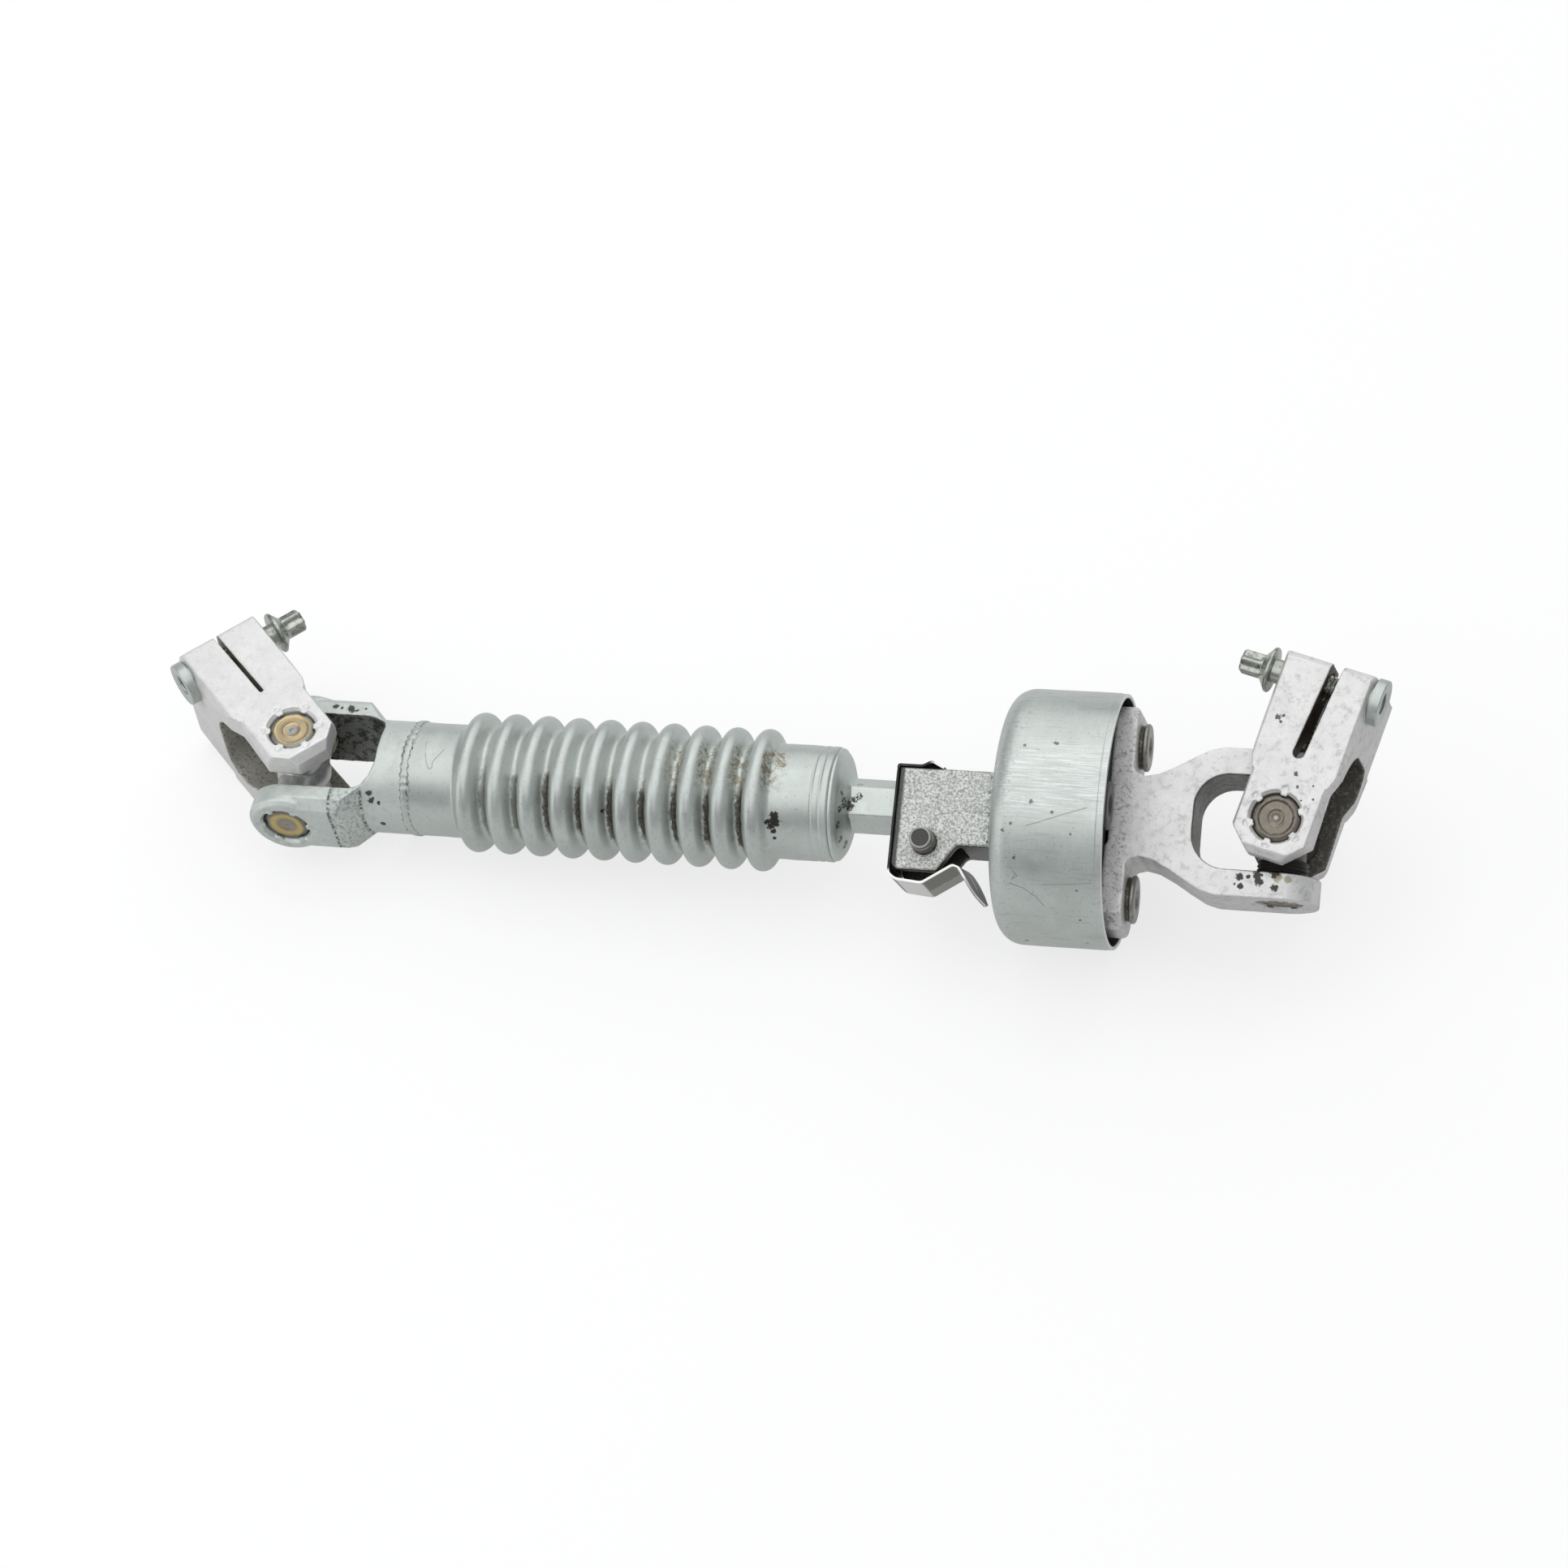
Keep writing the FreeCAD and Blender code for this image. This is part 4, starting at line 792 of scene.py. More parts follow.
def slot_faces(coat, frame, width, lean):
    """Factor that is 1 on the walls of a clamp's slot, which leans off its middle line, and of its bore."""
    turn = radians(lean)
    shift = (19.8 * MM + width / 2, 0, 0)
    own = turned_frame(frame, shift, (cos(turn), sin(turn), 0), (-sin(turn), cos(turn), 0))
    along, across, up = coat.parts(coat.own(own))
    half = width / 2
    slot = coat.both(coat.fall(coat.maths("ABSOLUTE", across), half + 0.05 * MM, half + 0.30 * MM),
                     coat.within(up, 6.0 * MM, 23.6 * MM, 0.12 * MM),
                     coat.rise(along, -half - 0.4 * MM, -half))
    along, across, up = coat.parts(coat.own(frame))
    bore = coat.both(coat.fall(coat.reach(across, up), 8.3 * MM, 8.6 * MM),
                     coat.fall(along, 51.9 * MM, 52.2 * MM), coat.rise(along, 28 * MM, 29 * MM))
    return coat.either(slot, bore)


def right_clamp_coat(name):
    """Bright forging with grey bloom, chips on its face, a throat painted near black as grease and shade, and a
    rusty slot.
    """
    coat = forging_coat(name, finish().forging, 0.74, 0.72)
    specks = coat.grains(0.53, 0.58, 1.2 * MM, 4.0, 0.75)
    throat = inner_faces(coat, RIGHT_CLAMP, 2, CLAMP_THROAT, CLAMP_CORNER)
    # Faces between the ears painted near black: grease and painted shade, with pale specks over them.
    coat.layer(throat, (0.075, 0.064, 0.050), 0.92)
    coat.layer(coat.both(throat, specks), (0.34, 0.32, 0.28), 0.6)
    slot = slot_faces(coat, RIGHT_CLAMP, 3.7 * MM, -4.4)
    coat.layer(slot, (0.040, 0.034, 0.027), 0.96)
    coat.layer(coat.both(slot, coat.grains(0.46, 0.60, 2.6 * MM, 4.0, 0.7)), RUST, 0.8)
    chips = [(30.5, 10.0, 1.1), (31.6, 8.6, 0.7), (14.9, -1.5, 0.8), (11.1, -3.4, 0.6), (7.4, -5.9, 0.4),
             (12.9, -7.9, 0.4), (8.8, -9.3, 0.5), (29.4, 8.8, 0.6)]
    coat.layer(coat.spots(marks(RIGHT_CLAMP, chips, 24.0), 0.8 * MM, 2.2), BLACK_DIRT, 0.85)
    return coat.done()


def fork_coat(name):
    """Bright forging of the flange: window painted dark as shade with dirt streaks, crossbar ends painted grey as
    shade, black chips and a grease stain on the lower arm.
    """
    coat = forging_coat(name, finish().forging, 0.68, 0.74)
    own = coat.parts(coat.own(FLANGE))
    window = inner_faces(coat, FLANGE, 1, -28.4 * MM, 11.0 * MM)
    # Faces inside the window painted near black: painted shade. The streaks over them are dirt.
    coat.layer(window, (0.105, 0.097, 0.084), 0.88)
    streak = coat.grains(0.50, 0.60, 1.8 * MM, 4.0, 0.7, 0.0, coat.own(FLANGE, (1.0, 1.0, 3.0)))
    coat.layer(coat.both(window, streak), (0.025, 0.023, 0.020), 0.9)
    # End faces of the crossbar painted grey: painted shade.
    shaded_crossbar_end = coat.fall(own[0], 0.6 * MM - CROSSBAR_REACH, 1.4 * MM - CROSSBAR_REACH)
    coat.layer(shaded_crossbar_end, (0.42, 0.41, 0.39), 0.7)
    grains = coat.grains(0.53, 0.60, 1.3 * MM, 5.0, 0.75)
    coat.layer(coat.both(coat.fall(own[0], 6.5 * MM - CROSSBAR_REACH, 9.0 * MM - CROSSBAR_REACH), grains),
               (0.16, 0.15, 0.14), 0.6)
    grease = [(-0.5, -16.6, 2.4), (3.0, -17.6, 1.6), (7.2, -17.0, 1.2)]
    coat.layer(coat.spots(marks(FLANGE, grease, 12.5), 2.4 * MM, 1.8), (0.36, 0.29, 0.17), 0.78)
    chips = [(-12.2, -17.6, 1.4), (-9.4, -17.4, 0.8), (-6.4, -16.6, 1.9), (-5.8, -18.6, 1.6),
             (-1.2, -15.6, 2.0), (-1.0, -20.4, 1.3), (6.3, -20.8, 1.2), (-11.7, -20.7, 1.1),
             (9.0, -17.0, 0.7), (4.8, -20.2, 0.7),
             (-13.5, -20.0, 0.5), (11.5, -21.0, 0.6)]
    coat.layer(coat.spots(marks(FLANGE, chips, 12.4), 1.2 * MM, 2.4), GREASE, 0.96)
    return coat.done()


def tube_yoke_coat(name):
    """Zinc of the tube yoke: grainy, with a worn diamond facet, chips, and an inner ear painted dark as shade with
    black dirt blotches.
    """
    coat = forging_coat(name, scaled(finish().zinc, 1.10), 0.35, 0.35, 0.42, 0.55)
    along, across = coat.parts(coat.own(SHAFT))[:2]
    gap = inner_faces(coat, SHAFT, 1, 31.2 * MM, 10.0 * MM)
    # Faces between the ears painted dark: painted shade. The black blotches and pale grains over them are dirt and
    # grain.
    coat.layer(gap, (0.18, 0.185, 0.17), 0.85)
    rough = coat.grains(0.55, 0.62, 1.0 * MM, 4.0, 0.78)
    blotch = coat.grains(0.50, 0.56, 3.4 * MM, 5.0, 0.72)
    coat.layer(coat.both(gap, blotch), (0.025, 0.024, 0.022), 0.9)
    coat.layer(coat.both(gap, rough), (0.42, 0.42, 0.39), 0.5)
    near = coat.fall(across, -15.4 * MM, -15.0 * MM)
    facet = coat.both(near, coat.within(along, 17.2 * MM, 27.0 * MM, 0.8 * MM))
    grain = coat.grains(0.49, 0.60, 1.25 * MM, 4.0, 0.78)
    coat.layer(coat.both(facet, grain), (0.15, 0.15, 0.14), 0.55)
    border = coat.both(near, coat.either(coat.within(along, 16.9 * MM, 17.9 * MM, 0.3 * MM),
                                         coat.within(along, 26.4 * MM, 27.2 * MM, 0.3 * MM)))
    coat.layer(coat.both(border, coat.grains(0.42, 0.52, 1.1 * MM, 3.0, 0.7)), BLACK_DIRT, 0.85)
    chips = [(9.6, 18.6, 13.0, 1.2), (12.0, 18.0, 13.0, 0.6), (15.5, 17.8, 13.0, 1.8),
             (17.4, 17.2, 12.6, 0.9), (20.5, 18.2, 13.0, 0.5), (30.0, -15.6, 10.8, 1.2),
             (30.4, -17.0, 8.6, 1.2), (33.0, -17.2, 8.0, 0.9),
             (31.2, -16.6, 9.6, 0.6), (33.0, -19.0, -1.0, 1.0), (26.5, -17.0, 11.5, 0.8)]
    coat.layer(coat.spots(marks(SHAFT, chips), 1.2 * MM, 2.2), (0.045, 0.043, 0.040), 0.95)
    return coat.done()


def blasted_coat(name):
    """Shot blasted steel: tight bright and dark grain on its two faces, the other faces painted near black as
    shade.
    """
    colour = finish().blasted
    coat = Coat(name, colour, 0.36, 0.6)
    grain = coat.noise(0.78 * MM, 3.0, 0.66)
    coat.layer(coat.rise(grain, 0.49, 0.57), scaled(colour, 1.6), 0.9)
    coat.layer(coat.fall(grain, 0.38, 0.46), scaled(colour, 0.52), 0.8)
    coat.layer(coat.grains(0.45, 0.75, 5 * MM, 3.0, 0.5), scaled(colour, 0.8), 0.35)
    along, across, up = coat.parts(coat.own(RIGHT_HALF))
    end = coat.rise(along, CUP_START - 4.2 * MM, CUP_START - 2.4 * MM)
    coat.layer(coat.both(end, coat.grains(0.50, 0.60, 1.0 * MM, 3.0, 0.7)), BLACK_DIRT, 0.8)
    depth = span("clamp_jaw", RIGHT_HALF, 2)[1]
    # Every face but the two broad ones painted near black: painted shade.
    side = coat.fall(coat.maths("ABSOLUTE", up), depth - 0.75 * MM, depth - 0.30 * MM)
    coat.layer(side, (0.055, 0.052, 0.048), 0.93)
    high = span("clamp_jaw", RIGHT_HALF, 1)[1]
    # Front end and upper brow painted near black as well: painted shade.
    front = coat.fall(along, JAW_START + 1.5 * MM, JAW_START + 2.2 * MM)
    brow = coat.both(coat.rise(across, high - 0.8 * MM, high - 0.3 * MM),
                     coat.fall(along, JAW_START + 12 * MM, JAW_START + 15 * MM))
    coat.layer(coat.either(front, brow), (0.060, 0.058, 0.054), 0.92)
    coat.relief(grain, 0.80, 0.28 * MM)
    return coat.done()


def plain_coat(name, colour, roughness, metallic, cloud=0.15, grain=0.08, stain=None):
    """Even coat with a little cloudiness and grain, and a stain colour if one is given."""
    coat = Coat(name, colour, roughness, metallic)
    broad = coat.noise(3.5 * MM, 4.0, 0.65)
    coat.layer(coat.rise(broad, 0.3, 0.7), scaled(colour, 1 + 2 * cloud))
    if stain is not None:
        coat.layer(coat.grains(0.52, 0.66, 2.1 * MM, 5.0, 0.7), stain, 0.7)
    coat.relief(coat.noise(0.6 * MM, 3.0, 0.6), grain, 0.1 * MM)
    return coat.done()


def rivet_coat(name):
    """Outer rivets: a dark dirty collar below a paler rolled rim, with brown stains."""
    coat = Coat(name, (0.30, 0.295, 0.27), 0.34, 0.8)
    along = coat.parts(coat.own(RIGHT_HALF))[0]
    collar = coat.fall(along, RIVET_END - 1.7 * MM, RIVET_END - 1.1 * MM)
    coat.layer(coat.both(collar, coat.grains(0.30, 0.50, 2.0 * MM, 4.0, 0.7)), (0.085, 0.075, 0.055), 0.9)
    coat.layer(coat.grains(0.52, 0.66, 1.4 * MM, 4.0, 0.7), (0.09, 0.08, 0.06), 0.6)
    coat.relief(coat.noise(0.6 * MM, 3.0, 0.6), 0.2, 0.1 * MM)
    return coat.done()


# Rings of tint on the bearing caps, from the middle out: radius and colour.
GOLD_BANDS = (
    (2.35 * MM, (0.36, 0.345, 0.32)),
    (2.9 * MM, (0.70, 0.49, 0.20)),
    (5.3 * MM, (0.44, 0.355, 0.225)),
    (6.0 * MM, (0.66, 0.49, 0.22)),
    (9.0 * MM, (0.30, 0.29, 0.25)),
)
BRASS_BANDS = (
    (3.3 * MM, (0.31, 0.285, 0.235)),
    (3.9 * MM, (0.42, 0.34, 0.18)),
    (5.6 * MM, (0.54, 0.42, 0.18)),
    (6.1 * MM, (0.30, 0.26, 0.17)),
    (9.0 * MM, (0.185, 0.18, 0.15)),
)
BROWN_BANDS = (
    (0.7 * MM, (0.46, 0.45, 0.42)),
    (1.7 * MM, (0.13, 0.12, 0.10)),
    (5.3 * MM, (0.21, 0.185, 0.15)),
    (5.9 * MM, (0.095, 0.085, 0.070)),
    (9.0 * MM, (0.19, 0.172, 0.145)),
)


def cap_coat(name, bands, frames):
    """Tinted bearing cap: rings of tint round its own pin, each (radius, colour), made uneven by noise."""
    coat = Coat(name, bands[-1][1], 0.30, 0.85)
    broad = coat.noise(2.6 * MM, 4.0, 0.7)
    total = None
    for frame, axis in frames:
        own = coat.parts(coat.own(frame))
        first, second = [own[index] for index in range(3) if index != axis]
        inward = coat.fall(coat.maths("ABSOLUTE", own[axis]), CAP_REACH - 12 * MM, CAP_REACH - 9 * MM)
        radius = coat.maths("ADD", coat.reach(first, second), inward)
        total = radius if total is None else coat.maths("MINIMUM", total, radius)
    total = coat.maths("ADD", total, coat.wander(broad, 1.3 * MM))
    for radius, colour in reversed(bands[:-1]):
        coat.layer(coat.fall(total, radius - 0.18 * MM, radius + 0.18 * MM), colour)
    coat.layer(coat.grains(0.50, 0.68, 1.6 * MM, 5.0, 0.7), scaled(bands[0][1], 0.8), 0.35)
    coat.feed(coat.shader.inputs["Roughness"], coat.rise(broad, 0.3, 0.7, 0.24, 0.42))
    coat.relief(coat.noise(0.9 * MM, 3.0, 0.6), 0.16, 0.1 * MM)
    return coat.done()


def seal_coat(name, colour, dirt):
    """Seal rubber, with a share of grease over it."""
    coat = Coat(name, colour, 0.5, 0.0)
    coat.layer(coat.grains(0.55 - 0.3 * dirt, 0.70 - 0.3 * dirt, 3.0 * MM, 4.0, 0.7), GREASE, dirt)
    coat.relief(coat.noise(0.9 * MM, 3.0, 0.6), 0.2, 0.12 * MM)
    return coat.done()


def pin_coat(name):
    """Dark cross bolt with a worn bright rim round its point and rust along its lower side."""
    coat = Coat(name, (0.095, 0.093, 0.088), 0.36, 0.6)
    along, across, up = coat.parts(coat.own(RIGHT_HALF))
    high = span("jaw_cross_bolt", RIGHT_HALF, 2)[1]
    station = sum(span("jaw_cross_bolt", RIGHT_HALF, 0)) / 2
    drop = sum(span("jaw_cross_bolt", RIGHT_HALF, 1)) / 2
    out = coat.reach(coat.maths("SUBTRACT", along, station), coat.maths("SUBTRACT", across, drop))
    coat.layer(coat.grains(0.48, 0.64, 1.6 * MM, 4.0, 0.7), (0.17, 0.165, 0.155), 0.5)
    coat.layer(coat.rise(up, high - 0.7 * MM, high - 0.4 * MM), (0.055, 0.054, 0.052), 0.9)
    rim = coat.both(coat.within(up, high - 2.5 * MM, high - 1.7 * MM, 0.2 * MM),
                    coat.rise(out, 3.1 * MM, 3.3 * MM))
    lip = coat.both(coat.rise(up, high - 0.7 * MM, high - 0.4 * MM), coat.rise(out, 2.85 * MM, 3.0 * MM))
    coat.layer(coat.either(rim, lip), (0.50, 0.50, 0.47), 0.8)
    rust = coat.both(coat.fall(up, high - 2.6 * MM, high - 2.2 * MM),
                     coat.fall(across, drop - 1.0 * MM, drop))
    coat.layer(coat.both(rust, coat.grains(0.42, 0.56, 1.2 * MM, 4.0, 0.7)), (0.13, 0.072, 0.036), 0.8)
    coat.relief(coat.noise(0.6 * MM, 3.0, 0.6), 0.25, 0.1 * MM)
    return coat.done()


def clip_coat(name):
    """Blackened spring sheet: a bright sheared near edge, partly bare metal and partly painted highlight, a pale
    painted reflection under its lowest bend and a painted highlight streak on its leaf.
    """
    coat = Coat(name, (0.030, 0.030, 0.031), 0.32, 0.7)
    coat.layer(coat.grains(0.5, 0.7, 3.0 * MM, 4.0, 0.65), (0.075, 0.072, 0.062), 0.6)
    along, across, up = coat.parts(coat.own(RIGHT_HALF))
    wander = coat.wander(coat.noise(3.0 * MM, 4.0, 0.7), 9.0 * MM)
    below = coat.fall(across, -20.5 * MM, -19.5 * MM)
    # Band under the lowest bend painted near white: a painted reflection of the floor.
    worn = coat.both(coat.within(along, 209.6 * MM, 218.6 * MM, 0.4 * MM), below)
    coat.layer(worn, (0.88, 0.89, 0.87), 0.92)
    rising = coat.both(coat.within(along, 218.6 * MM, 229.0 * MM, 0.4 * MM),
                       coat.fall(across, -18.6 * MM, -18.2 * MM))
    coat.layer(rising, (0.105, 0.098, 0.070), 0.9)
    rear = coat.fall(coat.maths("ADD", up, wander), -3.0 * MM, -2.4 * MM)
    coat.layer(coat.both(rising, rear), (0.33, 0.325, 0.29), 0.8)
    # Pale streak on the leaf: a painted highlight.
    streak = chain([at(RIGHT_HALF, 232.3, -21.6, 1.5), at(RIGHT_HALF, 234.7, -25.2, 2.0)])
    coat.layer(coat.strokes(streak, 1.2 * MM), (0.66, 0.66, 0.64), 0.9)
    half = span("spring_clip", RIGHT_HALF, 2)[1]
    beyond = coat.maths("MAXIMUM", coat.maths("SUBTRACT", along, LEAF_START), 0.0)
    edge = coat.maths("ADD", up, coat.maths("MULTIPLY", coat.maths("MULTIPLY", beyond, beyond), LEAF_TAPER))
    lower = coat.both(coat.fall(across, -23.0 * MM, -22.0 * MM), coat.fall(along, 219 * MM, 220 * MM))
    lower = coat.either(lower, coat.rise(along, 217.0 * MM, 219.0 * MM))
    # Near sheared edge painted bright where it is low: bare metal, with a painted highlight.
    bright = coat.rise(edge, half - 0.45 * MM, half - 0.20 * MM)
    coat.layer(coat.both(bright, lower), (0.86, 0.86, 0.83), 0.92)
    coat.relief(coat.noise(0.7 * MM, 3.0, 0.6), 0.1, 0.1 * MM)
    return coat.done()


COATS = {}


def kept(name, make, *arguments, **settings):
    """A material made once and kept by name."""
    if name not in COATS:
        COATS[name] = make(name, *arguments, **settings)
    return COATS[name]


def plain_zinc(name, share):
    """Zinc coat without marks."""
    return zinc_coat(name, share).done()


class SHAFT_OT_tube(bpy.types.Operator):
    """Corrugated tube with its rolled rings, crimp grooves and weld"""
    bl_idname = "shaft.tube"
    bl_label = "Corrugated tube"

    def execute(self, context):
        """Turns the tube's wall and lays the weld round its start."""
        sizes = surface()
        bore = sizes.tube_radius - sizes.tube_wall
        profile = np.concatenate([self.wall(), [[TUBE_END, bore], [TUBE_START, bore]]])

        def uneven(along, out, turn):
            """Slow wander of the wall: sums of sines along and round the tube."""
            skin = np.clip((out - bore) / (1.0 * MM), 0, 1)
            wander = np.sin(along * 430 + 2 * turn) + np.sin(along * 910 - 3 * turn + 1.0) * 0.6
            return skin * wander * 0.035 * MM

        tube = turned("corrugated_tube_skin", profile, SHAFT, sizes.turn_steps, uneven, True, 50)
        dress(tube, "tube", "zinc_plate", kept("zinc_tube", tube_coat), "corrugated_tube")
        self.weld()
        return {"FINISHED"}

    def wall(self):
        """Outer half section: plain wall, a wave of crest and valley arcs joined by their common tangent,
        two shallow crimps and a turned end."""
        sizes = surface()
        plain = sizes.tube_radius
        pitch = sizes.ring_pitch
        first = TUBE_START + sizes.ring_lead
        last = first + (sizes.ring_count - 1) * pitch
        x = np.concatenate([
            np.linspace(TUBE_START, first - pitch / 2, 20, endpoint=False),
            np.linspace(first - pitch / 2, last + pitch / 2, 330, endpoint=False),
            np.linspace(last + pitch / 2, TUBE_END, 76),
        ])
        crest = sizes.ring_crest
        valley = sizes.ring_valley
        drop = RING_RADIUS - plain - crest - valley
        lean = np.arccos((crest + valley) / np.hypot(pitch / 2, drop)) - np.arctan2(drop, pitch / 2)
        away = np.abs((x - first + pitch / 2) % pitch - pitch / 2)
        low = crest * cos(lean)
        high = pitch / 2 - valley * cos(lean)
        top = RING_RADIUS - crest + np.sqrt(np.clip(crest ** 2 - away ** 2, 0, None))
        floor = plain + valley - np.sqrt(np.clip(valley ** 2 - (pitch / 2 - away) ** 2, 0, None))
        share = np.clip((away - low) / (high - low), 0, 1)
        upper = RING_RADIUS - crest + crest * sin(lean)
        lower = plain + valley - valley * sin(lean)
        wall = upper * (1 - share) + lower * share
        ring = np.where(away < low, top, np.where(away > high, floor, wall))
        radius = np.where((x > first - pitch / 2) & (x < last + pitch / 2), ring, plain)
        crimp = TUBE_END - sizes.crimp_inset
        for middle in (crimp - sizes.crimp_spacing, crimp):
            radius -= 0.28 * MM * np.exp(-((x - middle) / (0.36 * MM)) ** 2)
        edge = 0.7 * MM
        radius -= np.clip((x - (TUBE_END - edge)) / edge, 0, 1) ** 2 * 0.5 * MM
        return np.stack([x, radius], axis=-1)

    def weld(self):
        """Low bead: a flattened ring whose height and width ripple with sines of the turn."""
        steps, sides = 300, 20
        turn, side = np.meshgrid(np.linspace(0, 2 * pi, steps, endpoint=False),
                                 np.linspace(0, 2 * pi, sides, endpoint=False), indexing="ij")
        ripple = 1 + 0.16 * np.sin(turn * 41 + np.sin(turn * 9)) + 0.12 * np.sin(turn * 7 + 1.3)
        out = surface().tube_radius - 0.10 * MM + 0.52 * MM * ripple * np.cos(side)
        along = TUBE_START - 0.3 * MM + 1.55 * MM * ripple * np.sin(side) + 0.28 * MM * np.sin(turn * 5)
        points = np.stack([along, out * np.sin(turn), out * np.cos(turn)], axis=-1).reshape(-1, 3)
        bead = make_object("weld_bead_skin", into(SHAFT, points), grid_faces(steps, sides, True, True), 60)
        dress(bead, "tube", "zinc_plate", kept("zinc_weld", weld_coat), "weld_bead")


class SHAFT_OT_slip_shaft(bpy.types.Operator):
    """End plug and hexagonal slip shaft"""
    bl_idname = "shaft.slip_shaft"
    bl_label = "Slip shaft"

    def execute(self, context):
        """Section runs from a circle to a hexagon: its radius is the apothem over a cosine of the turn."""
        apothem = surface().hex_across / 2
        corner = 1.133 * apothem
        tip_start = HEX_END - 1.4 * MM
        plug = PLUG_START / MM
        face = TUBE_END / MM
        end = HEX_END / MM
        profile = softened([
            (plug, 0), (plug, 17.45), (face, 17.45), (face, 18.55), (face + 1.0, 18.55),
            (face + 2.6, 16.6), (face + 3.8, 13.0), (face + 4.5, 10.6), (face + 5.6, 9.5),
            (face + 7.6, 9.4), (end, 9.4), (end, 0),
        ], 1.0, 5) * MM
        profile = dense(profile, 0.8 * MM)

        def hexagonal(along, out, turn):
            """Cuts the round bar to six flats beyond the neck, with slightly eased corners."""
            bend = (turn + pi / 6) % (pi / 3) - pi / 6
            flat = np.minimum(apothem / np.cos(bend), corner)
            tip = np.clip((along - tip_start) / (1.4 * MM), 0, 1) * 1.1 * MM
            depth = np.clip((along - TUBE_END - 4.2 * MM) / (1.4 * MM), 0, 1)
            cut = np.minimum(out, flat - tip * (out > 8 * MM))
            return np.where(out > 7 * MM, (cut - out) * depth, 0)

        bar = turned("slip_shaft_skin", profile, RIGHT_HALF, 144, hexagonal, sharp=28)
        dress(bar, "tube", "zinc_plate", kept("zinc_plug", plug_coat), "slip_shaft")
        return {"FINISHED"}


class SHAFT_OT_cup(bpy.types.Operator):
    """Pressed coupling cup with its rim"""
    bl_idname = "shaft.cup"
    bl_label = "Coupling cup"

    def execute(self, context):
        """Half section of the pressing, outside then back along the inside, with a trimmed rim."""
        start = CUP_START / MM
        rim = CUP_RIM / MM
        out = CUP_RADIUS / MM
        wall = surface().cup_wall / MM
        side = surface().cup_side / MM
        cone_start, cone_end, cone_depth = 18.0, 31.5, 2.0
        rise = out - cone_end
        round_off = ((side - cone_depth) ** 2 + rise ** 2) / (2 * rise)
        low = np.arctan2(side - cone_depth, round_off - rise)
        bend = [(side - round_off * sin(turn), out - round_off + round_off * cos(turn))
                for turn in np.linspace(low, 0, 9)]
        outside = [(start, 9.05), (start, cone_start)] + [(start + x, radius) for x, radius in bend]
        outside += [(rim - 2.4, out), (rim - 2.1, out - 0.16), (rim - 0.2, out - 0.16), (rim, out - 0.4)]
        middle = out - round_off
        closer = 1 - wall / round_off
        inside = [(start + side - (side - x) * closer, middle + (radius - middle) * closer)
                  for x, radius in reversed(bend)]
        inside = [(rim, out - wall + 0.3), (rim - 0.4, out - wall)] + inside
        inside += [(start + wall, cone_start), (start + wall, 9.05)]
        profile = dense(softened(outside + inside, 1.1, 4) * MM, 1.0 * MM)

        def pressed(along, out, turn):
            """Shallow dents and out-of-round wander, from smooth noise on the turned place."""
            place = np.stack([along, out * np.sin(turn), out * np.cos(turn)], axis=-1)
            wave = lattice_noise(place + 1.0, 0.019, 5) - 0.5
            small = lattice_noise(place + 1.0, 0.006, 6) - 0.5
            free = np.clip((out - 12 * MM) / (10 * MM), 0, 1)
            return free * (wave * 0.22 + small * 0.05) * MM

        cup = turned("coupling_cup_skin", profile, RIGHT_HALF, surface().turn_steps, pressed, True, 45)
        dress(cup, "tube", "zinc_plate", kept("zinc_cup", cup_coat), "coupling_cup")
        return {"FINISHED"}


class SHAFT_OT_yokes(bpy.types.Operator):
    """Forged yokes, crosses and the open jaw"""
    bl_idname = "shaft.yokes"
    bl_label = "Forgings"

    def execute(self, context):
        """Each forging is a skin over its solid."""
        sizes = surface()
        steel = kept("cross_steel", plain_coat, (0.54, 0.55, 0.54), 0.38, 0.6, 0.2, 0.2)
        greasy = kept("cross_greasy", plain_coat, (0.12, 0.11, 0.10), 0.36, 0.6, 0.2, 0.2, GREASE)
        grain = sizes.forging_grain
        small = sizes.small_forging_grain
        rough = sizes.skin_relief
        even = 0.15 * rough
        left = kept("left_forging", left_clamp_coat)
        right = kept("right_forging", right_clamp_coat)
        work = (
            ("left_clamp_yoke", "left_clamp", "zinc_forging", left, grain, 3, rough),
            ("right_clamp_yoke", "right_clamp", "zinc_forging", right, grain, 3, rough),
            ("flange_yoke", "flange", "zinc_forging", kept("fork_forging", fork_coat), grain, 4, rough),
            ("tube_yoke", "tube", "zinc_plate", kept("tube_forging", tube_yoke_coat), grain, 5, rough),
            ("clamp_jaw", "tube", "blasted_steel", kept("blasted_jaw", blasted_coat), grain, 3, rough),
            ("left_cross", "left_cross", "bearing_steel", steel, small, 3, even),
            ("right_cross", "right_cross", "bearing_steel", greasy, small, 3, even),
        )
        for seed, (name, body, slot_name, material, cell, passes, relief) in enumerate(work):
            piece = forged(name + "_skin", name, cell, relief, passes, 10 + 3 * seed)
            dress(piece, body, slot_name, material, name)
        return {"FINISHED"}


